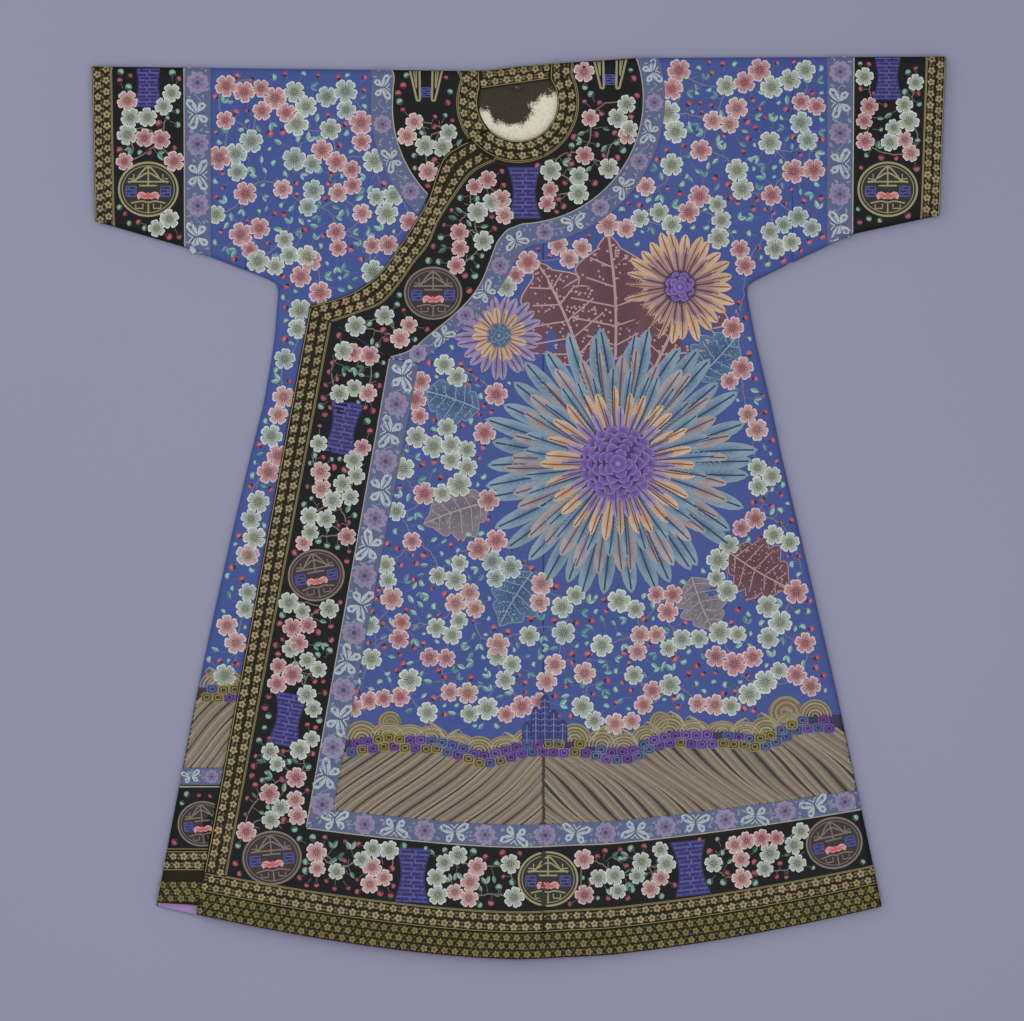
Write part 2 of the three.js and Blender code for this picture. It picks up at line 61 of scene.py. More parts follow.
class Side(Enum):
    """The wearer's sides."""

    RIGHT = -1
    LEFT = 1

    @property
    def word(self) -> str:
        """The side as it stands in node names."""
        return self.name.lower()


class Slot(Enum):
    """Material slots of the record."""

    BLUE = "blue_satin"
    BLACK = "black_satin"
    GOLD = "gold_brocade"
    OLIVE = "olive_brocade"
    RIBBON = "woven_ribbon"
    LILAC = "lilac_silk"
    FUR = "fur"


def srgb(red: float, green: float, blue: float) -> Colour:
    """Linear colour of a dyer's swatch given as 0 to 255 display values."""
    return tuple(((c / 255 + 0.055) / 1.055) ** 2.4 if c > 10 else c / 255 / 12.92
                 for c in (red, green, blue))


# ---- Plan curves ----------------------------------------------------------------------------------
def chain(*parts: Array | Points) -> Array:
    """Lines laid end to end as one array of points."""
    return np.vstack([np.asarray(part, float).reshape(-1, 2) for part in parts])


def pairs(x: Array, y: Array) -> Array:
    """Plan points from their x and y."""
    return np.stack([x, y], axis=-1)


def run_of(line: Array) -> Array:
    """Distance along a line at each of its points."""
    return np.concatenate([[0], np.cumsum(np.linalg.norm(np.diff(line, axis=0), axis=1))])


def sampled(line: Array, run: Array, at: Array | float) -> Array:
    """Points of a line at given distances along it."""
    return pairs(np.interp(at, run, line[:, 0]), np.interp(at, run, line[:, 1]))


def spun(angle: float) -> Array:
    """Matrix that turns plan points anticlockwise when they are multiplied by it."""
    c, s = math.cos(angle), math.sin(angle)
    return np.array([[c, s], [-s, c]])


def rounded(away: Array, radius: float) -> Array:
    """Height of a rolled edge's quarter round, from 0 at the edge to 1 at its radius."""
    return np.sqrt(np.maximum(0, 1 - (1 - np.minimum(away / radius, 1)) ** 2))


def respaced(line: Array | Points, steps: int) -> Array:
    """The same line with its points spaced evenly.

    Args:
        line: plan points.
        steps: number of equal steps in the result.

    Returns:
        An array of steps + 1 points.
    """
    line = np.asarray(line, float)
    run = run_of(line)
    return sampled(line, run, np.linspace(0, run[-1], steps + 1))


def smooth_line(points: Points, steps: int) -> Array:
    """Evenly spaced points on a smooth curve through the given ones.

    Args:
        points: plan points that the curve passes through.
        steps: number of equal steps in the result.

    Returns:
        An array of steps + 1 points.
    """
    given = np.asarray(points, float)
    t = np.linspace(0, len(given) - 1, 40 * len(given))
    first = np.minimum(t.astype(int), len(given) - 2)
    w = (t - first)[:, None]
    p0, p1, p2, p3 = (given[np.clip(first + k, 0, len(given) - 1)] for k in (-1, 0, 1, 2))
    v0, v1 = (p2 - p0) / 2, (p3 - p1) / 2
    curve = (2 * p1 - 2 * p2 + v0 + v1) * w**3 + (-3 * p1 + 3 * p2 - 2 * v0 - v1) * w**2 + v0 * w + p1
    return respaced(curve, steps)


def arc(centre: tuple[float, float], radius: float, start: float, end: float, steps: int,
        tall: float = 0) -> Array:
    """Points on an arc.

    Args:
        centre: its centre.
        radius: radius along X, and along Y unless tall is given.
        start: first angle in degrees from +X.
        end: last angle.
        steps: number of steps.
        tall: radius along Y where it differs.

    Returns:
        An array of steps + 1 points.
    """
    angle = np.radians(np.linspace(start, end, steps + 1))
    return pairs(centre[0] + radius * np.cos(angle), centre[1] + (tall or radius) * np.sin(angle))


def reach_to(line: Array, x: Array, y: Array) -> Array:
    """Distance of each point from the nearest place on a line.

    Args:
        line: its points.
        x, y: the points to measure from.

    Returns:
        Distances in millimetres, one for each point.
    """
    start, step = line[:-1], np.diff(line, axis=0)
    size = np.maximum((step**2).sum(axis=1), TINY)
    spots = pairs(np.ravel(x), np.ravel(y))
    nearest = np.empty(len(spots))
    batch = max(1, 400000 // len(step))
    for first in range(0, len(spots), batch):
        away = spots[first:first + batch, None] - start
        share = np.clip((away * step).sum(axis=2) / size, 0, 1)
        nearest[first:first + batch] = (((away - share[..., None] * step) ** 2).sum(axis=2)).min(axis=1)
    return np.sqrt(nearest).reshape(np.shape(x))


def within(outline: Array, x: Array, y: Array) -> Array:
    """True for each point inside a closed outline.

    Args:
        outline: its points in order.
        x, y: the points to test.

    Returns:
        One truth value for each point.
    """
    (ax, ay), (bx, by) = outline.T, np.roll(outline, -1, axis=0).T
    lean = (bx - ax) / np.where(ay == by, 1, by - ay)
    px, py = np.ravel(x)[:, None], np.ravel(y)[:, None]
    crossed = ((ay > py) != (by > py)) & (px < lean * (py - ay) + ax)
    return (crossed.sum(axis=1) % 2 == 1).reshape(np.shape(x))


def area_of(outline: Array) -> float:
    """Signed area of a closed outline, positive where it runs anticlockwise."""
    x, y = outline[:, 0], outline[:, 1]
    return float(np.sum(x * np.roll(y, -1) - np.roll(x, -1) * y) / 2)


def smoothstep(x: Array, low: float, high: float) -> Array:
    """Soft step from 0 at low to 1 at high."""
    t = np.clip((x - low) / (high - low), 0, 1)
    return t * t * (3 - 2 * t)


# ---- The cut --------------------------------------------------------------------------------------
@dataclass(frozen=True)
class Cut:
    """Sizes and seam lines of the robe, as it was cut."""

    wall: float = 6.0
    seam: float = 0.3
    trim: float = 1.2
    back_ease: float = 1.0
    top: float = 686.0
    cuff: float = 648.0
    hem_rise: float = 82.0
    hem_half: float = 549.0
    hem_power: float = 1.6
    hem_lift: float = 3.0
    centre_seam: float = 37.0
    armhole: float = 415.0
    step_run: float = 150.0
    facing: float = 22.0
    cuff_rim: float = 0.4
    cuff_bands: tuple[float, float, float] = (30, 140, 181)
    hem_bands: tuple[float, float, float, float] = (40, 72, 170, 204)
    band_taper: float = 0.1
    inner_rows: Points = ((-597, -565), (-549, -519), (-516, -422), (-419, -394))
    neck: tuple[float, float] = (-1.5, 616)
    neck_size: tuple[float, float] = (60, 59)
    neck_ring: float = 91.0
    neckline: Points = ((-54, 637), (48, 651))
    yoke: tuple[float, float] = (-1.5, 621)
    yoke_border: float = 190.0
    yoke_ribbon: float = 223.0
    yoke_ease: float = 12.0
    back_yoke: Points = ((30, 2), (92, 56), (178, 140), (213, 174))
    back_rim: float = 1.5
    shoulder: Points = ((-648, 671), (-60, 664), (2, 672), (184, 684), (648, 686))
    sides: Sequence[tuple[float, float, float]] = (
        (-604, -550.5, 551), (-291, -491, 485), (-169, -465, 457), (-48, -438, 429),
        (74, -409, 400), (165, -386, 381), (256, -371, 359), (332, -365, 345),
    )
    under_right: Points = ((-643, 436), (-508, 397), (-361, 341))
    under_left: Points = ((638, 445), (505, 416), (347, 341))
    overlap: Points = (
        (-44, 574.5), (-75, 558.5), (-111, 536), (-125, 507), (-138, 467), (-161, 429),
        (-196, 376), (-219, 350), (-248, 330), (-277, 318), (-317, 307),
    )
    overlap_foot: tuple[float, float] = (-489, -616)
    brocade_line: Points = (
        (-38, 527), (-72, 508), (-103, 467), (-123, 435), (-138, 400),
        (-161, 371), (-181, 342), (-208, 312), (-242, 298), (-285, 283),
    )
    border_line: Points = (
        (-18, 422), (-33, 403), (-43, 377), (-56, 345), (-74, 318),
        (-100, 292), (-132, 266), (-164, 240), (-196, 229),
    )
    ribbon_line: Points = ((5, 391), (-8, 370), (-21, 346), (-50, 305), (-81, 277), (-112, 251),
                           (-152, 220))
    side_lean: tuple[float, float, float] = (0.189, 0.177, 0.192)
    inner_foot: Points = ((-548, -598), (-486, -602), (-400, -629), (-200, -661), (0, -678), (37, -678))
    swells: Sequence[tuple[float, ...]] = (
        (-22, 120, 190, 40, -0.05, 2.6), (-75, -110, 240, 52, -0.14, 2.4), (235, 170, 210, 46, 0.35, 2.8),
        (300, -60, 260, 50, 0.2, 2.6), (150, -200, 230, 54, 0.1, 2.2), (390, -220, 170, 42, 0.18, 2.4),
    )

    @property
    def lower(self) -> float:
        """Underside of what lies on the back."""
        return self.wall + self.seam

    @property
    def upper(self) -> float:
        """Underside of what lies on the inner front."""
        return 2 * self.lower

    def shoulder_y(self, x: Array) -> Array:
        """Height of the fold along the shoulders."""
        return np.interp(x, *np.array(self.shoulder).T)

    def hem_y(self, x: Array) -> Array:
        """Height of the hem of the back."""
        return -self.top + self.hem_rise * (np.abs(x) / self.hem_half) ** self.hem_power

    def outer_hem(self, x: Array) -> Array:
        """Height of the hem of the outer front."""
        return self.hem_y(x) + self.hem_lift * (1 - smoothstep(x, 60, 150))

    def inner_hem(self, x: Array) -> Array:
        """Height of the hem of the inner front."""
        return np.interp(x, *np.array(self.inner_foot).T)

    def hem_band(self, x: Array, distance: float) -> Array:
        """Height of a line that runs with the hem of the outer front, a distance in from it."""
        return self.outer_hem(x) + distance * (1 - self.band_taper * (x / self.hem_half) ** 2)

    def under_seam(self, side: Side) -> Array:
        """Under seam of a sleeve, from the cuff to the armpit."""
        return np.array(self.under_right if side is Side.RIGHT else self.under_left, float)

    def body_edge(self, side: Side, y: Array) -> Array:
        """Outer edge of the body at a height: side seam, under seam, then the seam with the sleeve.

        Args:
            side: which half of the body.
            y: heights on the plan.

        Returns:
            The edge's x at each height.
        """
        under = self.under_seam(side)
        column = 1 if side is Side.RIGHT else 2
        rows = np.array([*self.sides, (under[-1, 1],) + (under[-1, 0],) * 2])
        low = np.interp(y, rows[:, 0], rows[:, column])
        high = np.interp(y, under[::-1, 1], under[::-1, 0])
        limit = side.value * (self.armhole - self.seam / 2)
        return np.where(y <= under[-1, 1], low, np.where(np.abs(high) < self.armhole, high, limit))

    def side_line(self, side: Side) -> Array:
        """The joined edge from the hem up to the armpit and out to the cuff."""
        column = 1 if side is Side.RIGHT else 2
        return chain([(row[column], row[0]) for row in self.sides], self.under_seam(side)[::-1])

    def neck_half(self, y: Array) -> Array:
        """Half the width of the neck opening at a height."""
        rx, ry = self.neck_size
        return rx * np.sqrt(np.maximum(0, 1 - ((y - self.neck[1]) / ry) ** 2))

    def side_seam(self, level: Callable[[float], float]) -> float:
        """Where a line with the hem meets the left side seam.

        Args:
            level: the line's y at an x.

        Returns:
            The x of the crossing.
        """
        end = self.hem_half
        for _ in range(8):
            end = float(self.body_edge(Side.LEFT, level(end)))
        return end

    def swell(self, x: Array, y: Array) -> Array:
        """Height by which the fur lifts the outer front.

        Args:
            x, y: the points.

        Returns:
            Heights in millimetres, 0 outside the outer front.
        """
        total = np.zeros(np.shape(x))
        for hx, hy, length, width, lean, height in self.swells:
            along = np.clip((y - hy) / length, -1, 1)
            across = np.clip((x - hx - lean * (y - hy)) / width, -1, 1)
            total += height * np.cos(along * math.pi / 2) ** 2 * np.cos(across * math.pi / 2) ** 2
        return total

    def outer_under(self, x: Array, y: Array) -> Array:
        """Underside of the outer front, which comes down past the inner one."""
        share = smoothstep(x, self.centre_seam, self.centre_seam + self.step_run)
        return self.upper + (self.lower - self.upper) * share + self.swell(x, y)

    def sleeve_line(self, side: Side, inwards: float) -> Array:
        """Line across a sleeve from its under seam to the shoulder fold, a distance in from the cuff.

        Args:
            side: which sleeve.
            inwards: distance from the mouth of the cuff.

        Returns:
            Points of the line.
        """
        under = self.under_seam(side)
        head = side.value * (self.cuff - inwards)
        slant = max(0.0, 1 - inwards / self.cuff_bands[2])
        foot = head + (under[0, 0] - side.value * self.cuff) * slant
        ordered = under if side is Side.RIGHT else under[::-1]
        return np.array([(foot, np.interp(foot, *ordered.T)), (head, self.shoulder_y(head))])

    def side_foot(self, corner: tuple[float, float], lean: float, band: float) -> tuple[float, float]:
        """Where a leaning side line meets a line that runs with the hem.

        Args:
            corner: where the side line starts.
            lean: how far it leans for each millimetre down.
            band: distance of the other line from the hem.

        Returns:
            The point where they meet.
        """
        y = -self.top
        for _ in range(8):
            x = corner[0] + lean * (y - corner[1])
            y = float(self.hem_band(x, band))
        return corner[0] + lean * (y - corner[1]), y

    def overlap_x(self, y: Array) -> Array:
        """The straight free edge of the outer front below its corner."""
        (cx, cy), (fx, fy) = self.overlap[-1], self.overlap_foot
        return np.interp(y, [fy, cy], [fx, cx])

    @cached_property
    def edge_lean(self) -> float:
        """How far the free edge leans outwards for each millimetre down."""
        (cx, cy), (fx, fy) = self.overlap[-1], self.overlap_foot
        return (fx - cx) / (fy - cy)


@dataclass(frozen=True)
class Crease:
    """A soft trough or ridge pressed into the cloth."""

    start: tuple[float, float]
    end: tuple[float, float]
    width: float
    height: float

    def rise(self, x: Array, y: Array) -> Array:
        """Height that the crease adds at each point.

        Args:
            x, y: the points.

        Returns:
            Heights in millimetres.
        """
        (ax, ay), (bx, by) = self.start, self.end
        dx, dy = bx - ax, by - ay
        share = ((x - ax) * dx + (y - ay) * dy) / (dx * dx + dy * dy)
        off = ((x - ax) * dy - (y - ay) * dx) / math.hypot(dx, dy)
        fade = np.clip(1 - (2 * share - 1) ** 2, 0, 1)
        return self.height * fade * np.exp(-((off / self.width) ** 2))


@dataclass
class Layer:
    """One layer of cloth: where its faces run, and how its edges roll."""

    cut: Cut
    under: Surface
    folds: Sequence[Array]
    edges: Sequence[Array]
    seams: Sequence[Array] = ()
    creases: Sequence[Crease] = ()
    wall: float = 6.0
    downward: bool = False
    fold_roll: float = 9.0
    seam_dip: float = 0.9
    seam_width: float = 2.2

    def roll(self, x: Array, y: Array, lines: Sequence[Array], radius: float) -> Array:
        """Share of the full height that is left near rolled edges, from 0 on them to 1 inside.

        Args:
            x, y: the points.
            lines: the rolled edges.
            radius: how far inwards the roll reaches.

        Returns:
            The share at each point.
        """
        if not lines:
            return np.ones(np.shape(x))
        away = np.min([reach_to(line, x, y) for line in lines], axis=0)
        return rounded(away, radius)

    def top(self, x: Array, y: Array) -> Array:
        """Height of the upper face.

        Args:
            x, y: the points.

        Returns:
            Heights in millimetres.
        """
        low = self.under(x, y)
        height = low + self.wall
        for crease in self.creases:
            height = height + crease.rise(x, y)
        for line in self.seams:
            height = height - self.seam_dip * np.exp(-((reach_to(line, x, y) / self.seam_width) ** 2))
        half = self.wall / 2
        height = height - half * (1 - self.roll(x, y, self.edges, half))
        if not self.downward:
            floor = self.cut.lower
            height = floor + (height - floor) * self.roll(x, y, self.folds, self.fold_roll)
        return height

    def bottom(self, x: Array, y: Array) -> Array:
        """Height of the lower face.

        Args:
            x, y: the points.

        Returns:
            Heights in millimetres.
        """
        half = self.wall / 2
        low = self.under(x, y) + half * (1 - self.roll(x, y, self.edges, half))
        if self.downward:
            low = low + self.wall * (1 - self.roll(x, y, self.folds, self.fold_roll))
        return np.minimum(low, self.top(x, y) - LEAST_WALL)


# ---- Shader building ------------------------------------------------------------------------------
Value = float | tuple | bpy.types.NodeSocket


class Wiring:
    """Adds and joins the nodes of one tree."""

    def __init__(self, tree: bpy.types.NodeTree) -> None:
        """Starts on a tree."""
        self.tree = tree

    def add(self, kind: str, feeds: dict[str | int, Value] | None = None,
            **settings: object) -> bpy.types.Node:
        """One node with its settings, and its inputs set or linked.

        Args:
            kind: Blender's name of the node.
            feeds: what goes into each input, a socket or a value.
            settings: properties of the node.

        Returns:
            The node.
        """
        node = self.tree.nodes.new(kind)
        for key, value in settings.items():
            setattr(node, key, value)
        for key, value in (feeds or {}).items():
            self.feed(node.inputs[key], value)
        return node

    def feed(self, socket: bpy.types.NodeSocket, value: Value) -> None:
        """Links a socket, or sets its value.

        Args:
            socket: the input to fill.
            value: an output to link, or a plain value.
        """
        if isinstance(value, bpy.types.NodeSocket):
            self.tree.links.new(value, socket)
        elif isinstance(value, tuple) and len(value) == 3 and socket.type == "RGBA":
            socket.default_value = (*value, 1)
        else:
            socket.default_value = value

    def math(self, operation: str, first: Value, second: Value = 0.0) -> bpy.types.NodeSocket:
        """Result of a sum on one or two values."""
        return self.add("ShaderNodeMath", {0: first, 1: second}, operation=operation).outputs[0]

    def blend(self, factor: Value, first: Value, second: Value, mode: str = "MIX") -> bpy.types.NodeSocket:
        """Two colours blended.

        Args:
            factor: share of the second.
            first, second: the colours.
            mode: how they blend.

        Returns:
            The result.
        """
        node = self.add("ShaderNodeMix", {0: factor, 6: first, 7: second}, data_type="RGBA",
                        blend_type=mode)
        return node.outputs[2]

    def ranged(self, value: Value, low: float, high: float) -> bpy.types.NodeSocket:
        """A 0 to 1 value spread between two others."""
        return self.add("ShaderNodeMapRange", {0: value, 3: low, 4: high}).outputs[0]


class Effects:
    """Shared shader groups, each built once."""

    @staticmethod
    def begin(name: str, inputs: dict[str, float], outputs: Sequence[str]) -> tuple[Wiring, dict, dict]:
        """A new group with its named sockets.

        Args:
            name: what the group is called.
            inputs: its inputs and their defaults; the input Thread is a vector.
            outputs: its outputs.

        Returns:
            The wiring, the input sockets and the output sockets by name.
        """
        tree = bpy.data.node_groups.new(name, "ShaderNodeTree")
        for key, value in inputs.items():
            kind = "NodeSocketVector" if key == "Thread" else "NodeSocketFloat"
            socket = tree.interface.new_socket(key, in_out="INPUT", socket_type=kind)
            if kind == "NodeSocketFloat":
                socket.default_value = value
        for key in outputs:
            tree.interface.new_socket(key, in_out="OUTPUT", socket_type="NodeSocketFloat")
        wire = Wiring(tree)
        source = wire.add("NodeGroupInput").outputs
        sink = wire.add("NodeGroupOutput").inputs
        return wire, {key: source[key] for key in inputs}, {key: sink[key] for key in outputs}

    @staticmethod
    def weave() -> bpy.types.NodeTree:
        """Satin weave: long floats one way, fine threads the other, and slubs.

        Returns:
            The node group.
        """
        found = bpy.data.node_groups.get("satin weave")
        if found:
            return found
        wire, into, out = Effects.begin("satin weave", {"Floats": 900.0, "Threads": 2600.0},
                                        ["Tone", "Height"])
        place = wire.add("ShaderNodeTexCoord").outputs["Object"]
        split = wire.add("ShaderNodeSeparateXYZ", {0: place}).outputs
        stretched = wire.add("ShaderNodeCombineXYZ", {
            0: wire.math("MULTIPLY", split[0], into["Floats"]),
            1: wire.math("MULTIPLY", split[1], into["Threads"]),
            2: wire.math("MULTIPLY", split[2], into["Floats"]),
        }).outputs[0]
        grain = wire.add("ShaderNodeTexNoise",
                         {"Vector": stretched, "Scale": 1.0, "Detail": 2.0}).outputs[0]
        slub = wire.add("ShaderNodeCombineXYZ", {
            0: wire.math("MULTIPLY", split[0], 18.0),
            1: wire.math("MULTIPLY", split[1], 420.0),
            2: 0.0,
        }).outputs[0]
        slubs = wire.add("ShaderNodeTexNoise", {"Vector": slub, "Scale": 1.0, "Detail": 1.0}).outputs[0]
        both = wire.math("ADD", wire.math("MULTIPLY", grain, 0.6), wire.math("MULTIPLY", slubs, 0.4))
        wire.feed(out["Tone"], both)
        wire.feed(out["Height"], both)
        return wire.tree

    @staticmethod
    def wear() -> bpy.types.NodeTree:
        """Broad soft fading and handling marks.

        Returns:
            The node group.
        """
        found = bpy.data.node_groups.get("soft wear")
        if found:
            return found
        wire, into, out = Effects.begin("soft wear", {"Breadth": 5.0}, ["Mask", "Fine"])
        place = wire.add("ShaderNodeTexCoord").outputs["Object"]
        broad = wire.add("ShaderNodeTexNoise",
                         {"Vector": place, "Scale": into["Breadth"], "Detail": 4.0}).outputs[0]
        small = wire.math("MULTIPLY", into["Breadth"], 14.0)
        fine = wire.add("ShaderNodeTexNoise", {"Vector": place, "Scale": small, "Detail": 3.0}).outputs[0]
        wire.feed(out["Mask"], wire.ranged(broad, 0.0, 1.0))
        wire.feed(out["Fine"], fine)
        return wire.tree

    @staticmethod
    def floss() -> bpy.types.NodeTree:
        """Strands of floss silk that lie side by side along each stitch.

        Returns:
            The node group.
        """
        found = bpy.data.node_groups.get("floss strands")
        if found:
            return found
        inputs = {"Thread": 0.0, "Fineness": 1.4}
        wire, into, out = Effects.begin("floss strands", inputs, ["Tone", "Height"])
        split = wire.add("ShaderNodeSeparateXYZ", {0: into["Thread"]}).outputs
        strand = wire.add("ShaderNodeCombineXYZ", {
            0: wire.math("MULTIPLY", split[0], into["Fineness"]),
            1: wire.math("MULTIPLY", split[1], 0.12),
            2: split[2],
        }).outputs[0]
        lines = wire.add("ShaderNodeTexNoise", {"Vector": strand, "Scale": 1.0, "Detail": 2.0}).outputs[0]
        wire.feed(out["Tone"], wire.ranged(lines, 0.0, 1.0))
        wire.feed(out["Height"], lines)
        return wire.tree


@dataclass(frozen=True)
class Finish:
    """What every finish has: a name and its gloss."""

    name: str
    roughness: float = 0.5
    gloss: float = 0.35
    metal: float = 0.0
    sheen: float = 0.0
    bump: float = 0.2
    depth: float = 0.0003

    def material(self) -> bpy.types.Material:
        """The finished material, built on first use.

        Returns:
            The material.
        """
        found = bpy.data.materials.get(self.name)
        if found:
            return found
        made = bpy.data.materials.new(self.name)
        made.use_nodes = True
        made.node_tree.nodes.clear()
        wire = Wiring(made.node_tree)
        colour, height, rough = self.surface(wire)
        shader = wire.add("ShaderNodeBsdfPrincipled", {
            "Base Color": colour,
            "Metallic": self.metal,
            "Roughness": rough,
            "Specular IOR Level": self.gloss,
            "Sheen Weight": self.sheen,
            "Sheen Roughness": 0.4,
        })
        relief = wire.add("ShaderNodeBump",
                          {"Height": height, "Strength": self.bump, "Distance": self.depth})
        wire.feed(shader.inputs["Normal"], relief.outputs[0])
        wire.add("ShaderNodeOutputMaterial", {"Surface": shader.outputs[0]})
        return made

    def surface(self, wire: Wiring) -> tuple[Value, Value, Value]:
        """Colour, relief and roughness, which each finish gives in its own way."""
        raise NotImplementedError


@dataclass(frozen=True)
class Silk(Finish):
    """Plain or figured silk with a satin weave, softly faded."""

    colour: Colour = (0.1, 0.1, 0.1)
    faded: Colour = (0.2, 0.2, 0.2)
    floats: float = 500.0
    threads: float = 1500.0

    def surface(self, wire: Wiring) -> tuple[Value, Value, Value]:
        """Weave tone over a broad fade.

        Args:
            wire: the node tree to add to.

        Returns:
            Colour, height and roughness.
        """
        weave = wire.add("ShaderNodeGroup", node_tree=Effects.weave())
        wire.feed(weave.inputs["Floats"], self.floats)
        wire.feed(weave.inputs["Threads"], self.threads)
        wear = wire.add("ShaderNodeGroup", node_tree=Effects.wear())
        wire.feed(wear.inputs["Breadth"], 6.0)
        fade = wire.ranged(wear.outputs["Mask"], 0.05, 0.75)
        base = wire.blend(fade, self.colour, self.faded)
        tone = wire.ranged(weave.outputs["Tone"], 0.72, 1.28)
        shade = wire.add("ShaderNodeCombineColor", {0: tone, 1: tone, 2: tone}).outputs[0]
        colour = wire.blend(1.0, base, shade, "MULTIPLY")
        rough = wire.ranged(wear.outputs["Fine"], self.roughness - 0.1, self.roughness + 0.12)
        return colour, weave.outputs["Height"], rough


@dataclass(frozen=True)
class Floss(Finish):
    """Silk or gilt thread in the colour that each stitch was given."""

    fineness: float = 1.4
    contrast: float = 0.22

    def surface(self, wire: Wiring) -> tuple[Value, Value, Value]:
        """The stitch's own colour, streaked along its strands.

        Args:
            wire: the node tree to add to.

        Returns:
            Colour, height and roughness.
        """
        dye = wire.add("ShaderNodeAttribute", attribute_name="floss").outputs["Color"]
        thread = wire.add("ShaderNodeAttribute", attribute_name="thread").outputs["Vector"]
        strands = wire.add("ShaderNodeGroup", {"Thread": thread, "Fineness": self.fineness},
                           node_tree=Effects.floss())
        tone = wire.ranged(strands.outputs["Tone"], 1 - self.contrast, 1 + self.contrast)
        shade = wire.add("ShaderNodeCombineColor", {0: tone, 1: tone, 2: tone}).outputs[0]
        colour = wire.blend(1.0, dye, shade, "MULTIPLY")
        rough = wire.ranged(strands.outputs["Tone"], self.roughness - 0.08, self.roughness + 0.1)
        return colour, strands.outputs["Height"], rough


@dataclass(frozen=True)
class Board(Finish):
    """The plain board that the robe lies on."""

    colour: Colour = (0.3, 0.3, 0.4)

    def surface(self, wire: Wiring) -> tuple[Value, Value, Value]:
        """A plain tone with the least mottling.

        Args:
            wire: the node tree to add to.

        Returns:
            Colour, height and roughness.
        """
        wear = wire.add("ShaderNodeGroup", node_tree=Effects.wear())
        wire.feed(wear.inputs["Breadth"], 2.0)
        tone = wire.ranged(wear.outputs["Mask"], 0.985, 1.015)
        shade = wire.add("ShaderNodeCombineColor", {0: tone, 1: tone, 2: tone}).outputs[0]
        return wire.blend(1.0, self.colour, shade, "MULTIPLY"), wear.outputs["Fine"], self.roughness


BLUE_SATIN = Silk("blue satin", 0.45, 0.16, 0.0, 0.03, 0.25, colour=srgb(50, 69, 134),
                  faded=srgb(74, 89, 144))
BLACK_SATIN = Silk("black satin", 0.5, 0.1, 0.0, 0.0, 0.25, colour=srgb(17, 18, 21), faded=srgb(32, 31, 34))
GOLD_GROUND = Silk("dark brocade ground", 0.6, 0.12, 0.0, 0.0, 0.4, colour=srgb(28, 21, 11),
                   faded=srgb(44, 36, 21), floats=1500, threads=1500)
OLIVE_GROUND = Silk("olive brocade ground", 0.6, 0.12, 0.0, 0.0, 0.4, colour=srgb(27, 22, 7),
                    faded=srgb(42, 36, 15), floats=1500, threads=1500)
RIBBON_GROUND = Silk("ribbon silk", 0.5, 0.16, 0.0, 0.03, 0.3, colour=srgb(78, 86, 122),
                     faded=srgb(100, 106, 136), floats=1100, threads=1100)
LILAC_SILK = Silk("lilac silk", 0.42, 0.2, 0.0, 0.05, 0.2, colour=srgb(140, 112, 160),
                  faded=srgb(168, 142, 184))
FUR_SKIN = Silk("fur skin", 0.9, 0.1, 0.0, 0.1, 0.6, colour=srgb(120, 108, 88), faded=srgb(150, 140, 118))
FLOSS = Floss("floss silk", 0.45, 0.2, 0.0, 0.04, 0.35, 0.0002)
GILT = Floss("gilt thread", 0.42, 0.35, 0.3, 0.0, 0.5, 0.0002, fineness=2.2, contrast=0.3)
CORD = Floss("cord thread", 0.6, 0.15, 0.0, 0.02, 0.5, 0.0003, fineness=1.0, contrast=0.3)
HAIR = Floss("fur hair", 0.75, 0.15, 0.0, 0.15, 0.1, 0.0001, fineness=3.0, contrast=0.15)
BOARD = Board("pale board", 0.85, 0.15, colour=srgb(144, 144, 168))


class Weave(Enum):
    """Cloths that bands are cut from, from a hem inwards: word in a name, slot and finish."""

    SELVEDGE = ("selvedge", Slot.OLIVE, OLIVE_GROUND)
    BROCADE = ("brocade", Slot.GOLD, GOLD_GROUND)
    BORDER = ("border", Slot.BLACK, BLACK_SATIN)
    RIBBON = ("ribbon", Slot.RIBBON, RIBBON_GROUND)

    def __init__(self, word: str, slot: Slot, finish: Finish) -> None:
        """Names the three parts of the value."""
        self.word, self.slot, self.finish = word, slot, finish


INNER_WEAVES = (Weave.BROCADE, Weave.BORDER, Weave.RIBBON)


# ---- Meshes ---------------------------------------------------------------------------------------
def new_object(name: str, points: Array, faces: Array, finishes: Sequence[Finish],
               picks: Array | None = None, smooth: bool = True) -> bpy.types.Object:
    """A mesh object from arrays.

    Args:
        name: the object's name.
        points: vertices in millimetres, (n, 3).
        faces: corners of each face, (k, 3) or (k, 4).
        finishes: its materials.
        picks: which of them each face takes.
        smooth: whether its faces shade smoothly.

    Returns:
        The linked object.
    """
    mesh = bpy.data.meshes.new(name)
    count, sides = faces.shape
    mesh.vertices.add(len(points))
    mesh.vertices.foreach_set("co", (points * MM).astype(np.float32).ravel())
    mesh.loops.add(count * sides)
    mesh.loops.foreach_set("vertex_index", faces.astype(np.int32).ravel())
    mesh.polygons.add(count)
    mesh.polygons.foreach_set("loop_start", np.arange(0, count * sides, sides, dtype=np.int32))
    mesh.polygons.foreach_set("use_smooth", np.full(count, smooth))
    for finish in finishes:
        mesh.materials.append(finish.material())
    if picks is not None:
        mesh.polygons.foreach_set("material_index", picks.astype(np.int32))
    mesh.update()
    mesh.validate()
    obj = bpy.data.objects.new(name, mesh)
    bpy.context.collection.objects.link(obj)
    return obj


def shares(length: float, spacing: float, roll: float) -> Array:
    """Shares of a length for the lines of a grid, closer together in the roll at each end.

    Args:
        length: the full length.
        spacing: space between lines away from the ends.
        roll: radius of the rolled edge.

    Returns:
        Shares from 0 to 1.
    """
    near = roll * (1 - np.cos(np.radians([0, 25, 50, 72, 90]))) / length
    inner = np.linspace(near[-1], 1 - near[-1], max(2, round((length - 2 * roll) / spacing) + 1))
    return np.concatenate([near[:-1], inner, 1 - near[-2::-1]])


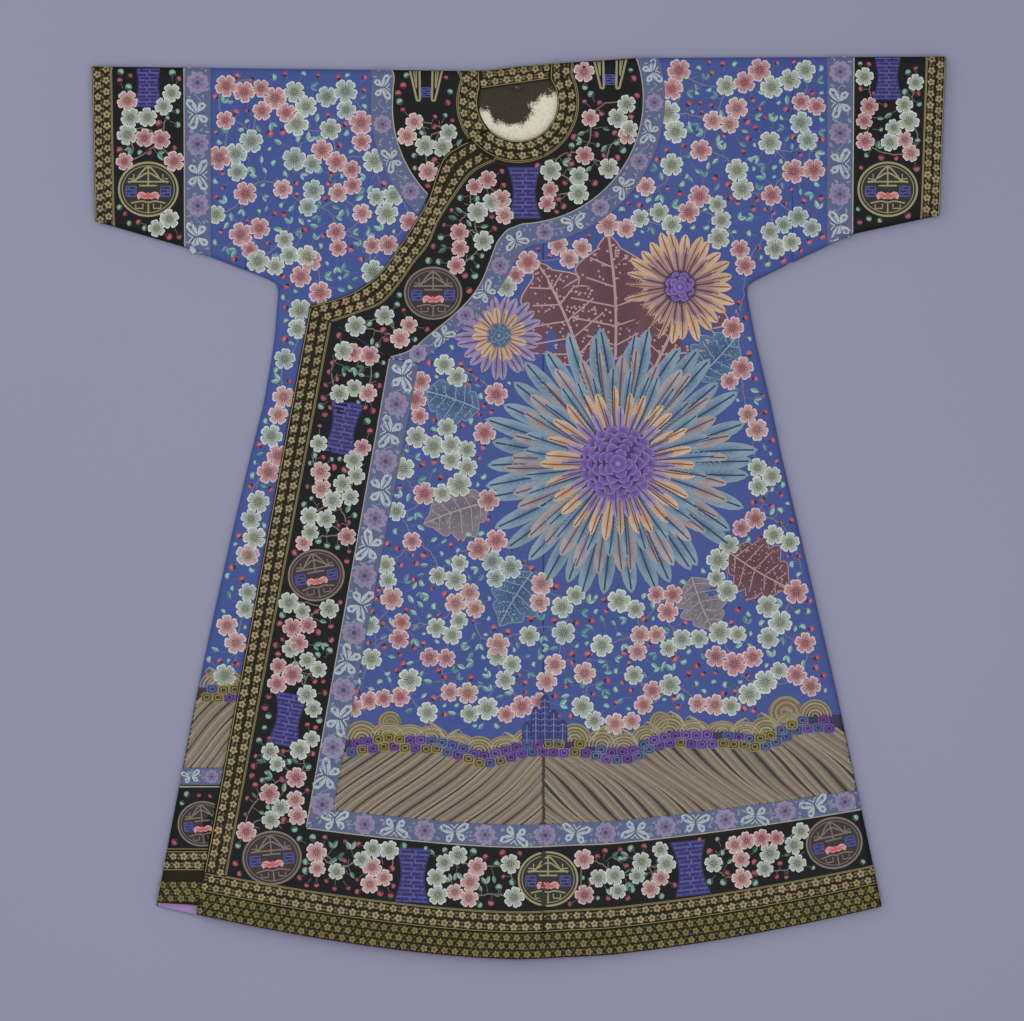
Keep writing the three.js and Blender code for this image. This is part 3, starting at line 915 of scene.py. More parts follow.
def shell(name: str, grid: Array, top: Array, bottom: Array, finishes: Sequence[Finish],
          pick: Callable[[Array], Array] | None = None) -> bpy.types.Object:
    """A closed shell of cloth over a grid of plan points.

    Args:
        name: the object's name.
        grid: plan points, (rows, columns, 2).
        top: height of the upper face at each.
        bottom: height of the lower face at each.
        finishes: its materials.
        pick: gives each face's material from the middle of that face.

    Returns:
        The object.
    """
    rows, columns = top.shape
    index = np.arange(rows * columns).reshape(rows, columns)
    upper = np.concatenate([grid, top[..., None]], axis=2).reshape(-1, 3)
    lower = np.concatenate([grid, bottom[..., None]], axis=2).reshape(-1, 3)
    a, b, c, d = index[:-1, :-1], index[:-1, 1:], index[1:, 1:], index[1:, :-1]
    face_up = np.stack([a, b, c, d], axis=2).reshape(-1, 4)
    face_down = face_up[:, ::-1] + rows * columns
    rim = np.concatenate([index[0, :-1], index[:-1, -1], index[-1, :0:-1], index[:0:-1, 0]])
    after = np.roll(rim, -1)
    wall = np.stack([rim + rows * columns, after + rows * columns, after, rim], axis=1)
    faces = np.concatenate([face_up, face_down, wall])
    if area_of(grid.reshape(-1, 2)[rim]) < 0:
        faces = faces[:, ::-1]
    points = np.concatenate([upper, lower])
    picks = pick(points[faces].mean(axis=1)) if pick else None
    return new_object(name, points, faces, finishes, picks)


def dyed(obj: bpy.types.Object, dyes: Sequence[Array], strands: Array) -> None:
    """Gives each point of a mesh its dye and its place along its thread.

    Args:
        obj: the mesh object.
        dyes: runs of colours, point by point.
        strands: across, along and number of the thread at each point.
    """
    dyes = np.clip(np.concatenate(dyes), 0, 1)
    colours = np.column_stack([dyes, np.ones(len(dyes))]).ravel()
    obj.data.color_attributes.new("floss", "FLOAT_COLOR", "POINT").data.foreach_set("color", colours)
    obj.data.attributes.new("thread", "FLOAT_VECTOR", "POINT").data.foreach_set("vector", strands.ravel())


def sewn(obj: bpy.types.Object, slot: Slot, *nodes: str) -> bpy.types.Object:
    """Rides a piece on the robe and hides the nodes that it stands for.

    Args:
        obj: the piece.
        slot: its material slot; not used.
        nodes: the CAD nodes that it replaces.

    Returns:
        The same piece.
    """
    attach(obj, "root")
    if nodes:
        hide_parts(*nodes)
    LOG.info("piece %s", obj.name)
    return obj


# ---- Needlework -----------------------------------------------------------------------------------
@dataclass
class Motif:
    """Needlework drawn flat once and sewn many times.

    Each vertex has a plan point, a lift above the cloth, the number of its dye, and its place along and
    across the stitches.
    """

    points: Array
    lift: Array
    tint: Array
    thread: Array
    faces: Array

    @staticmethod
    def joined(parts: Sequence["Motif"]) -> "Motif":
        """Several drawings as one.

        Args:
            parts: the drawings, the lowest first.

        Returns:
            One drawing.
        """
        starts = np.cumsum([0] + [len(part.points) for part in parts[:-1]])
        return Motif(
            np.concatenate([part.points for part in parts]),
            np.concatenate([part.lift for part in parts]),
            np.concatenate([part.tint for part in parts]),
            np.concatenate([part.thread for part in parts]),
            np.concatenate([part.faces + start for part, start in zip(parts, starts)]),
        )

    def placed(self, x: float = 0, y: float = 0, angle: float = 0, scale: float = 1, lift: float = 0,
               tint: int = 0, mirror: bool = False) -> "Motif":
        """A copy moved, turned, scaled, raised or dyed from another row of the palette.

        Args:
            x: shift along X.
            y: shift along Y.
            angle: turn in radians, anticlockwise.
            scale: size.
            lift: added height.
            tint: added to each dye number.
            mirror: whether it is flipped left to right.

        Returns:
            The copy.
        """
        flip = np.array([-1.0 if mirror else 1.0, 1.0])
        points = (self.points * flip * scale) @ spun(angle) + (x, y)
        faces = self.faces[:, ::-1] if mirror else self.faces
        return Motif(points, self.lift + lift, self.tint + tint, self.thread * scale, faces)


def fan(outline: Array, heart: tuple[float, float], tints: tuple[int, int], lifts: tuple[float, float],
        closed: bool = False) -> Motif:
    """Stitches that run from one point out to a line.

    Args:
        outline: the line, anticlockwise round the point.
        heart: the point.
        tints: dyes at the point and on the line.
        lifts: heights at the point and on the line.
        closed: whether the line closes on itself.

    Returns:
        The motif.
    """
    count = len(outline)
    points = np.vstack([[heart], outline])
    first = np.arange(1, count + 1)
    pairs = np.stack([first, np.roll(first, -1)], axis=1)
    if not closed:
        pairs = pairs[:-1]
    faces = np.column_stack([np.zeros(len(pairs), int), pairs])
    return Motif(points, np.r_[lifts[0], np.full(count, lifts[1])],
                 np.r_[tints[0], np.full(count, tints[1])], points.copy(), faces)


def strip(first: Array, second: Array, tints: tuple[int, int], lifts: tuple[float, float],
          closed: bool = False) -> Motif:
    """Stitches between two lines of as many points, the second on the left of the first.

    Args:
        first: one line.
        second: the other.
        tints: dyes on each.
        lifts: heights on each.
        closed: whether the lines close on themselves.

    Returns:
        The motif.
    """
    count = len(first)
    i = np.arange(count if closed else count - 1)
    j = (i + 1) % count
    faces = np.concatenate([np.stack([i, j, j + count], axis=1),
                            np.stack([i, j + count, i + count], axis=1)])
    points = np.vstack([first, second])
    return Motif(points, np.repeat(lifts, count).astype(float), np.repeat(tints, count), points.copy(),
                 faces)


def stroke(path: Array | Points, width: float | Array, tint: int = 0, lift: float = 0.35,
           closed: bool = False, ridge: float = 0.35) -> Motif:
    """One couched thread or a line of stem stitch, raised along its middle.

    Args:
        path: the line that it follows.
        width: its width, or the width at each point.
        tint: its dye.
        lift: height of its edges.
        closed: whether it closes on itself.
        ridge: how far its middle stands above its edges.

    Returns:
        The motif.
    """
    path = np.asarray(path, float)
    if closed:
        ahead = np.roll(path, -1, axis=0) - np.roll(path, 1, axis=0)
    else:
        ahead = np.gradient(path, axis=0)
    ahead /= np.maximum(np.linalg.norm(ahead, axis=1, keepdims=True), TINY)
    aside = pairs(-ahead[:, 1], ahead[:, 0])
    half = np.broadcast_to(np.asarray(width, float) / 2, len(path))[:, None]
    right = strip(path - aside * half, path, (tint, tint), (lift, lift + ridge), closed)
    left = strip(path, path + aside * half, (tint, tint), (lift + ridge, lift), closed)
    run = run_of(path)
    for part, (one, two) in ((right, (-1, 0)), (left, (0, 1))):
        across = np.concatenate([one * half[:, 0], two * half[:, 0]])
        part.thread = pairs(across, np.tile(run, 2))
    return Motif.joined([right, left])


def ellipse(rx: float, ry: float, count: int, phase: float = 0,
            centre: tuple[float, float] = (0, 0)) -> Array:
    """Closed ring of points, anticlockwise."""
    angle = phase + 2 * math.pi * np.arange(count) / count
    return pairs(centre[0] + rx * np.cos(angle), centre[1] + ry * np.sin(angle))


def disc(radius: float, count: int, tints: tuple[int, int], lifts: tuple[float, float],
         centre: tuple[float, float] = (0, 0)) -> Motif:
    """A round patch of stitches."""
    return fan(ellipse(radius, radius, count, centre=centre), centre, tints, lifts, closed=True)


class Drawings:
    """The motifs that the embroiderers repeat, each drawn in millimetres or at size 1."""

    @staticmethod
    def blossom(turn: float = 0.0) -> Motif:
        """A five-petalled blossom of radius 1: dyes are heart, petal, rim and stamen.

        Args:
            turn: angle by which the stamens turn.

        Returns:
            The drawing.
        """
        angles = np.array([0.61, 0.52, 0.34, 0.14, 0.0, -0.14, -0.34, -0.52, -0.61])
        radii = np.array([0.62, 0.87, 0.99, 1.0, 0.935, 1.0, 0.99, 0.87, 0.62])
        outer = pairs(-radii * np.sin(angles), radii * np.cos(angles))[::-1]
        inner = (outer - (0, 0.46)) * 0.76 + (0, 0.46)
        heart = (0.0, 0.1)
        body = fan(inner, heart, (0, 1), (0.35, 0.62))
        rim = strip(outer, inner, (2, 2), (0.12, 0.62))
        flank = [
            Motif(np.array([heart, outer[0], inner[0]]), np.array([0.2, 0.12, 0.62]), np.array([1, 2, 2]),
                  np.array([heart, outer[0], inner[0]]), np.array([[0, 1, 2]])),
            Motif(np.array([heart, inner[-1], outer[-1]]), np.array([0.2, 0.62, 0.12]), np.array([1, 2, 2]),
                  np.array([heart, inner[-1], outer[-1]]), np.array([[0, 1, 2]])),
        ]
        petal = Motif.joined([body, rim, *flank])
        parts = [petal.placed(angle=turn + k * 2 * math.pi / 5, lift=0.04 * (k % 2)) for k in range(5)]
        parts.append(disc(0.19, 8, (0, 0), (0.8, 0.62)))
        for k in range(10):
            angle = turn + (k + 0.5) * math.pi / 5
            far = 0.44 if k % 2 else 0.36
            tip = np.array([[0.19, -0.025], [far, -0.02], [far, 0.02], [0.19, 0.025]])
            spike = Motif(tip, np.array([0.66, 0.72, 0.72, 0.66]), np.full(4, 3), tip.copy(),
                          np.array([[0, 1, 2], [0, 2, 3]]))
            parts.append(spike.placed(angle=angle))
            parts.append(fan(ellipse(0.05, 0.05, 4, centre=(far, 0)), (far, 0), (3, 3), (0.8, 0.7),
                             True).placed(angle=angle))
        return Motif.joined(parts)

    @staticmethod
    def leaf() -> Motif:
        """A pointed leaf of length 1 along +Y, with a light and a dark half.

        Returns:
            The drawing.
        """
        right = np.array([[0, 0], [0.17, 0.2], [0.24, 0.45], [0.16, 0.75], [0, 1]])
        spine = np.array([[0, 0], [0.01, 0.2], [0.02, 0.45], [0.01, 0.75], [0, 1]])
        left = right * (-1, 1)
        return Motif.joined([strip(right, spine, (0, 0), (0.15, 0.5)),
                             strip(spine, left, (1, 1), (0.5, 0.15))])

    @staticmethod
    def bud() -> Motif:
        """A round bud of radius 1 on a short calyx, pointing to +Y.

        Returns:
            The drawing.
        """
        cup = np.array([[-0.75, -0.35], [-0.3, -1.15], [0.3, -1.15], [0.75, -0.35], [0, 0.1]])
        return Motif.joined([
            disc(1.0, 8, (0, 1), (0.75, 0.15)),
            fan(cup, (0, -0.6), (2, 2), (0.6, 0.45), True),
        ])

    @staticmethod
    def head() -> Motif:
        """A small brocaded flower head of radius 1: dyes are petal, edge and heart.

        Returns:
            The drawing.
        """
        parts = []
        for k in range(5):
            angle = math.pi / 2 + k * 2 * math.pi / 5
            centre = (0.58 * math.cos(angle), 0.58 * math.sin(angle))
            parts.append(disc(0.4, 6, (0, 1), (0.5, 0.15), centre))
        parts.append(disc(0.2, 5, (2, 2), (0.62, 0.5)))
        return Motif.joined(parts)

    @staticmethod
    def sprig() -> Motif:
        """Three tiny leaves on a point, of size 1.

        Returns:
            The drawing.
        """
        leaf = fan(np.array([[-0.22, 0.45], [0, 0.0], [0.22, 0.45], [0, 1.0]]), (0, 0.45), (0, 0),
                   (0.4, 0.15), True)
        return Motif.joined([leaf.placed(angle=turn) for turn in (-0.95, 0.0, 0.95)])

    @staticmethod
    def curl(turns: float = 1.25, width: float = 0.3, tint: int = 0) -> Motif:
        """A thread that curls in on itself, of radius 1.

        Args:
            turns: how often it goes round.
            width: of the thread.
            tint: which dye it takes.

        Returns:
            The drawing.
        """
        t = np.linspace(0, 1, max(18, int(turns * 20)))
        angle = 2 * math.pi * turns * t
        radius = 1 - 0.72 * t
        path = pairs(radius * np.cos(angle), radius * np.sin(angle))
        return stroke(path, width * (1 - 0.35 * t), tint, 0.4, ridge=0.4)


class Needlework:
    """Collects the motifs that are sewn onto one piece of cloth, as one mesh."""

    pressed = 0.62
    next_strands = 3.7

    def __init__(self, name: str, surface: Surface, finish: Finish, seed: int = 1, slot: Slot = Slot.BLUE,
                 downward: bool = False) -> None:
        """Starts an empty piece of work, which faces down where it is on the underside of the back.

        Args:
            name: of the finished mesh.
            surface: height of the cloth at each point.
            finish: of the thread.
            seed: for what varies from stitch to stitch.
            slot: material slot of the cloth below.
            downward: whether it faces down.
        """
        self.name = name
        self.surface = surface
        self.finish = finish
        self.slot = slot
        self.downward = downward
        self.rng = np.random.default_rng(seed)
        self.parts: list[Motif] = []
        self.dyes: list[Array] = []

    def sew(self, motif: Motif, palette: Sequence[Colour], x: float = 0, y: float = 0, angle: float = 0,
            scale: float = 1, lift: float = 0, mirror: bool = False, vary: float = 0.06) -> None:
        """Adds one motif.

        Args:
            motif: the drawing.
            palette: its dyes.
            x, y: its place.
            angle: turn in radians.
            scale: size.
            lift: height above the cloth.
            mirror: whether it is flipped.
            vary: how far its tone may stray.
        """
        put = motif.placed(x, y, angle, scale, lift, mirror=mirror)
        tone = 1 + self.rng.uniform(-vary, vary)
        self.parts.append(put)
        self.dyes.append(np.asarray(palette)[motif.tint] * tone)

    def build(self) -> bpy.types.Object:
        """The mesh of everything sewn so far.

        Returns:
            The finished piece.
        """
        whole = Motif.joined(self.parts)
        x, y = whole.points.T
        lift = -self.pressed * whole.lift if self.downward else whole.lift
        points = np.column_stack([x, y, self.surface(x, y) + lift])
        faces = whole.faces[:, ::-1] if self.downward else whole.faces
        obj = new_object(self.name, points, faces, [self.finish])
        counts = [len(part.points) for part in self.parts]
        own = np.repeat(np.arange(len(self.parts)) * self.next_strands, counts)
        dyed(obj, self.dyes, np.column_stack([whole.thread, own]))
        return sewn(obj, self.slot)


# ---- Cloth pieces ---------------------------------------------------------------------------------
@dataclass
class Panel:
    """A flat-cut piece of cloth between a lower and an upper line and two sides."""

    name: str
    slot: Slot
    layer: Layer
    finishes: Sequence[Finish]
    heights: Callable[[float, Array], Array]
    edges: Callable[[Array], tuple[Array, Array]]
    size: tuple[float, float]
    spacing: float = 9.0
    pick: Callable[[Array], Array] | None = None

    def grid(self) -> Array:
        """Plan points of the panel, row by row from its foot.

        Returns:
            Points in rows.
        """
        up = shares(self.size[1], self.spacing, 8)
        along = shares(self.size[0], self.spacing, 8)
        left = np.zeros(len(up))
        right = np.zeros(len(up))
        for _ in range(9):
            left = self.edges(self.heights(up, left))[0]
            right = self.edges(self.heights(up, right))[1]
        x = left[:, None] + (right - left)[:, None] * along[None]
        y = self.heights(up[:, None], x)
        return pairs(x, y)

    def build(self, rests_on: Sequence[str]) -> bpy.types.Object:
        """Args:
            rests_on: names of what the panel lies on; not used.

        Returns:
            The panel.
        """
        grid = self.grid()
        x, y = grid[..., 0], grid[..., 1]
        obj = shell(self.name + "_cloth", grid, self.layer.top(x, y), self.layer.bottom(x, y),
                    self.finishes, self.pick)
        sewn(obj, self.slot, self.name)
        declare_sheet(grid)
        return obj


def declare_sheet(grid: Array) -> None:
    """Works out the flat size of a piece of cloth from its own cut, but does not store or pass it on.

    Args:
        grid: plan points of the cloth, row by row.
    """
    outline = np.concatenate([grid[0], grid[1:, -1], grid[-1, -2::-1], grid[-2:0:-1, 0]])
    area = abs(area_of(outline)) * 1e-6
    width, length = np.ptp(grid[..., 0]) * MM, np.ptp(grid[..., 1]) * MM
    if area < 0.45 * width * length:
        length = float(np.linalg.norm(np.diff(grid, axis=0), axis=2).sum(axis=0).mean()) * MM
        width = area / length


@dataclass
class Band:
    """A band sewn on between two lines, its points given from one end to the other."""

    name: str
    weave: Weave
    near: Array
    far: Array
    layer: Layer
    rests_on: str
    spacing: float = 6.0
    surface: Surface | None = None
    roll: float = 0.9
    sight: float = 4.0
    bedding: float = 0.25
    flat_lift: float = 0.16

    @property
    def slot(self) -> Slot:
        """The material slot of its cloth."""
        return self.weave.slot

    @cached_property
    def run(self) -> Array:
        """Distance along the middle of the band at each of its points."""
        return run_of((self.near + self.far) / 2)

    @property
    def length(self) -> float:
        """Length along the middle."""
        return float(self.run[-1])

    def line(self, share: float, inset: tuple[float, float] = (0, 0)) -> Array:
        """A line along the band at a share of its width, with its ends drawn in."""
        at = np.linspace(inset[0], self.length - inset[1], max(3, int(self.length / 4)))
        return sampled(self.near + (self.far - self.near) * share, self.run, at)

    def spot(self, distance: float, share: float) -> tuple[float, float, float, float]:
        """A place on the band.

        Args:
            distance: how far along its middle.
            share: how far across it, from 0 at the near line.

        Returns:
            x, y, the band's direction there in radians, and its width.
        """
        def ends(where: float) -> Array:
            """The near and the far end of a line across the band."""
            return np.array([sampled(self.near, self.run, where), sampled(self.far, self.run, where)])

        here = ends(distance)
        after = ends(min(distance + self.sight, self.length)).mean(axis=0)
        ahead = after - ends(max(distance - self.sight, 0)).mean(axis=0)
        x, y = here[0] + (here[1] - here[0]) * share
        return float(x), float(y), math.atan2(ahead[1], ahead[0]), float(np.linalg.norm(here[1] - here[0]))

    def top(self, x: Array, y: Array) -> Array:
        """Height of the band's upper face.

        Args:
            x, y: the points.

        Returns:
            Heights in millimetres.
        """
        if self.surface:
            return self.surface(x, y)
        if self.layer.downward:
            return self.layer.bottom(x, y)
        return self.layer.top(x, y) + self.layer.cut.seam + self.layer.cut.trim

    def build(self) -> bpy.types.Object:
        """Returns:
            The finished piece.
        """
        if self.layer.downward:
            return self.build_flat()
        width = float(np.linalg.norm(self.far - self.near, axis=1).mean())
        across = shares(width, self.spacing, self.roll)
        along = shares(self.length, self.spacing, self.roll) * self.length
        near, far = (sampled(line, self.run, along) for line in (self.near, self.far))
        grid = near[:, None] + (far - near)[:, None] * across[None, :, None]
        x, y = grid[..., 0], grid[..., 1]
        ground = self.layer.top(x, y)
        half = self.layer.cut.trim / 2
        edge = np.minimum.outer(np.minimum(along, self.length - along), np.full(len(across), np.inf))
        edge = np.minimum(edge, np.minimum(across, 1 - across)[None] * width)
        plump = half * rounded(edge, half)
        middle = ground + self.layer.cut.seam + half
        obj = shell(self.name + "_cloth", grid, middle + plump, middle - plump - self.bedding,
                    [self.weave.finish])
        sewn(obj, self.slot, self.name)
        declare_sheet(grid)
        return obj

    def build_flat(self) -> bpy.types.Object:
        """Makes a band of the back, which is woven in with its panel.

        Returns:
            The finished piece.
        """
        work = Needlework(self.name, self.top, self.weave.finish, 1, self.slot, True)
        across = np.linspace(0, 1, 8)
        for one, two in zip(across[:-1], across[1:]):
            first, second = self.line(two), self.line(one)
            if np.cross(np.diff(first, axis=0)[0], (second - first)[0]) < 0:
                first, second = second, first
            work.sew(strip(first, second, (0, 0), (self.flat_lift,) * 2), [(0.1, 0.1, 0.1)], vary=0)
        return work.build()


# ---- The robe -------------------------------------------------------------------------------------
@dataclass
class Robe:
    """The whole garment: its layers, panels and bands."""

    cut: Cut
    outer_creases: Sequence[Crease] = (
        Crease((-21, 250), (-23, 20), 5, -1.1), Crease((-60, 60), (-95, -190), 16, 0.9),
        Crease((250, 360), (180, 60), 22, 1.0), Crease((330, 250), (385, -120), 18, -0.9),
        Crease((120, -60), (60, -330), 20, 0.8), Crease((300, -260), (340, -520), 26, 0.9),
        Crease((-180, -260), (-220, -520), 24, 0.8), Crease((60, -420), (90, -640), 22, -0.7),
        Crease((350, 345), (470, 560), 20, 0.9), Crease((500, 640), (560, 450), 16, -0.7),
        Crease((200, 660), (330, 470), 24, 0.8), Crease((-250, 240), (-330, -60), 18, 0.7),
    )
    inner_creases: Sequence[Crease] = (
        Crease((-352, 345), (-470, 560), 20, 0.9), Crease((-500, 640), (-560, 450), 16, -0.7),
        Crease((-200, 650), (-330, 450), 24, 0.8), Crease((-400, 60), (-430, -160), 12, 0.7),
    )
    front_spacing: float = 9
    back_spacing: float = 16
    olive_rim: float = 40.0
    inner_rim_width: float = 3.2
    cuff_rim_width: float = 10.0
    dark_reach: float = 9.0
    free_edge_turns: Sequence[float] = (25, 50, 72, 90)
    free_edge_run: float = 3.0
    facing_steps: Sequence[float] = (0.4, 1.0, 2.0, 3.2, 6, 12, 18, 21)
    facing_lift: float = 0.24
    facing_wall: float = 1.1

    def __post_init__(self) -> None:
        """Works out the layers from the cut."""
        cut = self.cut
        x = np.linspace(-551, 551, 60)
        cuffs = [cut.sleeve_line(side, 0) for side in Side]
        folds = [np.array(cut.shoulder, float), cut.side_line(Side.RIGHT), cut.side_line(Side.LEFT)]
        armholes = [np.array([[side.value * cut.armhole, 340], [side.value * cut.armhole, 690]])
                    for side in Side]
        neck = arc(cut.neck, cut.neck_size[0], 36, -250, 40, cut.neck_size[1])
        free_edge = chain(smooth_line(cut.overlap, 40), [cut.overlap_foot])
        centre = np.array([[cut.centre_seam, -700], [cut.centre_seam, 573]])
        inner_hem = pairs(x, cut.inner_hem(x))[x < cut.centre_seam + 1]
        self.back = Layer(cut, lambda x, y: np.full(np.shape(x), cut.back_ease), folds,
                          [pairs(x, cut.hem_y(x)), *cuffs], wall=cut.wall - cut.back_ease, downward=True)
        self.inner = Layer(cut, lambda x, y: np.full(np.shape(x), cut.lower), folds,
                           [inner_hem, *cuffs, neck], armholes, self.inner_creases)
        self.outer = Layer(cut, cut.outer_under, folds,
                           [pairs(x, cut.outer_hem(x)), *cuffs, neck, free_edge],
                           [armholes[1], centre], self.outer_creases)

    # -- panels
    def body_heights(self, foot: Surface) -> Callable[[float, Array], Array]:
        """Rows that run from a hem to the shoulder fold.

        Args:
            foot: height of the hem at each x.

        Returns:
            Function of a share of the way up and an x.
        """
        def heights(up: float, x: Array) -> Array:
            """Heights of a row at each x."""
            low = foot(x)
            return low + up * (self.cut.shoulder_y(x) - low)

        return heights

    def panels(self) -> list[Panel]:
        """All the panels, the lowest first.

        Returns:
            The panels.
        """
        cut = self.cut
        found: list[Panel] = []
        for side in Side:
            seam = side.value * cut.seam / 2

            def back_edges(y: Array, side: Side = side, seam: float = seam) -> tuple[Array, Array]:
                """Ends of a row of one half of the back."""
                ends = (cut.body_edge(side, y), np.full(np.shape(y), seam))
                return ends if side is Side.RIGHT else ends[::-1]

            found.append(Panel(f"back_{side.word}", Slot.BLUE, self.back, [BLUE_SATIN, OLIVE_GROUND],
                               self.body_heights(cut.hem_y), back_edges, (500, 1330), self.back_spacing,
                               self.back_rim))
        found.append(Panel("front_inner", Slot.BLUE, self.inner, [BLUE_SATIN, OLIVE_GROUND],
                           self.body_heights(cut.inner_hem), self.inner_edges, (480, 1300), 10,
                           self.inner_rim))
        found.append(Panel("front_left", Slot.BLUE, self.outer, [BLUE_SATIN, OLIVE_GROUND],
                           self.body_heights(cut.outer_hem), self.outer_edges, (460, 1340),
                           self.front_spacing, self.outer_rim))
        return found

    def back_rim(self, middles: Array) -> Array:
        """Olive where the hem band turns under."""
        return (middles[:, 1] - self.cut.hem_y(middles[:, 0]) < self.olive_rim).astype(int)

    def inner_rim(self, middles: Array) -> Array:
        """Olive where the inner hem band turns under."""
        low = middles[:, 1] - self.cut.inner_hem(middles[:, 0]) < self.inner_rim_width
        return (low | self.dark(self.inner, middles)).astype(int)

    def outer_rim(self, middles: Array) -> Array:
        """Dark brocade where a band is turned over a free edge."""
        return self.dark(self.outer, middles).astype(int)

    def dark(self, layer: Layer, middles: Array) -> Array:
        """True for each face beside an edge of a dark band, as the ground there shows between bands.

        Args:
            layer: the panel's layer.
            middles: middle of each face.

        Returns:
            One truth value for each face.
        """
        dark = (Slot.GOLD, Slot.BLACK, Slot.OLIVE)
        lines = [respaced(line, 30) for band in self.bands() if band.layer is layer and band.slot in dark
                 for line in (band.near, band.far)]
        away = np.min([reach_to(line, middles[:, 0], middles[:, 1]) for line in lines], axis=0)
        return away < self.dark_reach

    def inner_edges(self, y: Array) -> tuple[Array, Array]:
        """Ends of a row of the inner front.

        Args:
            y: height of the row at each point.

        Returns:
            The two x.
        """
        cut = self.cut
        foot = cut.neck[1] - cut.neck_size[1]
        neck = cut.neck[0] - cut.neck_half(np.minimum(y, cut.neckline[0][1]))
        left = np.where(y < foot, cut.centre_seam - cut.seam, np.minimum(neck, cut.neck[0] - 4))
        return cut.body_edge(Side.RIGHT, y), left

    def outer_edges(self, y: Array) -> tuple[Array, Array]:
        """Ends of a row of the outer front beyond the centre seam.

        Args:
            y: height of the row at each point.

        Returns:
            The two x.
        """
        cut = self.cut
        seam = cut.centre_seam + cut.seam / 2
        neck = cut.neck[0] + cut.neck_half(np.minimum(y, cut.neckline[1][1]))
        foot = cut.neck[1] - cut.neck_size[1]
        return np.where(y > foot, np.maximum(seam, neck), seam), cut.body_edge(Side.LEFT, y)

    def build_sleeves(self) -> None:
        """The back and front panel of each sleeve."""
        cut = self.cut
        root = cut.cuff - cut.armhole - cut.seam / 2
        for side in Side:
            for part, layer in (("back", self.back),
                                ("front", self.inner if side is Side.RIGHT else self.outer)):
                spacing = self.front_spacing if part == "front" else self.back_spacing
                inwards = shares(root, spacing, 3) * root
                across = shares(240, spacing, 9)
                lines = [cut.sleeve_line(side, distance) for distance in inwards]
                grid = np.array([line[0] + (line[1] - line[0]) * across[:, None] for line in lines])
                x, y = grid[..., 0], grid[..., 1]

                def pick(middles: Array, layer: Layer = layer) -> Array:
                    """Dark cloth beside the cuff's black band."""
                    edge = np.abs(middles[:, 0]) > cut.cuff - self.cuff_rim_width
                    return (edge if layer is self.back else edge | self.dark(layer, middles)).astype(int)

                obj = shell(f"sleeve_{side.word}_{part}_cloth", grid, layer.top(x, y), layer.bottom(x, y),
                            [BLUE_SATIN, GOLD_GROUND], pick)
                sewn(obj, Slot.BLUE, f"sleeve_{side.word}_{part}")
                declare_sheet(grid)

    def build_overlap(self) -> None:
        """The part of the outer front that crosses to the wearer's right."""
        cut = self.cut
        neck_edge = arc(cut.neck, cut.neck_size[0], -135, -47, 32, cut.neck_size[1])[1:]
        head = chain(smooth_line(cut.overlap[::-1], 66), neck_edge)
        limit = cut.centre_seam - cut.seam / 2
        head[-1, 0] = limit
        share = (head[:, 0] - head[0, 0]) / (limit - head[0, 0])
        near = self.free_edge_run * (1 - np.cos(np.radians(self.free_edge_turns)))
        foot_x = cut.overlap_foot[0] + share * (limit - cut.overlap_foot[0])
        foot = pairs(foot_x, cut.outer_hem(foot_x))
        # Extra lines near the leaning free edge let its roll show.
        extra = np.array([[head[0] + (offset, 0), foot[0] + (offset, 0)] for offset in near])
        keep = head[:, 0] - head[0, 0] > near[-1] + 0.5
        keep[0] = True
        head = chain(head[:1], extra[:, 0], head[keep][1:])
        foot = chain(foot[:1], extra[:, 1], foot[keep][1:])
        foot[:, 1] = cut.outer_hem(foot[:, 0])
        for k in range(1, 1 + len(near)):
            head[k, 1] = np.interp(head[k, 0], *smooth_line(cut.overlap[::-1], 200).T)
        up = shares(1000, self.front_spacing, 3)
        grid = foot[None] + (head - foot)[None] * up[:, None, None]
        x, y = grid[..., 0], grid[..., 1]
        obj = shell("front_overlap_cloth", grid, self.outer.top(x, y), self.outer.bottom(x, y),
                    [BLUE_SATIN, GOLD_GROUND], self.outer_rim)
        sewn(obj, Slot.BLUE, "front_overlap")
        declare_sheet(grid)

    def build_facing(self) -> None:
        """The silk facing inside the hem of the back."""
        cut = self.cut
        x = np.linspace(-548.5, 549, 160)
        steps = (*self.facing_steps, cut.facing)
        grid = np.stack([pairs(x, cut.hem_y(x) + step) for step in steps])
        top = self.back.top(grid[..., 0], grid[..., 1]) + self.facing_lift
        obj = shell("hem_facing_cloth", grid, top, top - self.facing_wall, [LILAC_SILK])
        sewn(obj, Slot.LILAC, "hem_facing")
        declare_sheet(grid)

    # -- bands
    def on_shoulder(self, x: float) -> tuple[float, float]:
        """A point on the shoulder fold."""
        return x, float(self.cut.shoulder_y(x))

    def bands(self) -> list[Band]:
        """All the bands, sewn on in this order."""
        return [*self.cuff_bands(), *self.inner_bands(), *self.neck_bands(), *self.side_bands(),
                *self.hem_bands()]

    def cuff_bands(self) -> list[Band]:
        """Brocade, border and ribbon round each cuff.

        Returns:
            The bands.
        """
        cut = self.cut
        brocade, border, _ = cut.cuff_bands
        starts = (cut.cuff_rim, brocade + cut.seam, border + cut.seam)
        found = []
        for side in Side:
            layer = self.inner if side is Side.RIGHT else self.outer
            for weave, *span in zip(INNER_WEAVES, starts, cut.cuff_bands):
                near, far = (respaced(cut.sleeve_line(side, at), 60) for at in span)
                name = f"cuff_{side.word}_{weave.word}"
                found.append(Band(name, weave, near, far, layer, f"sleeve_{side.word}_front"))
        return found

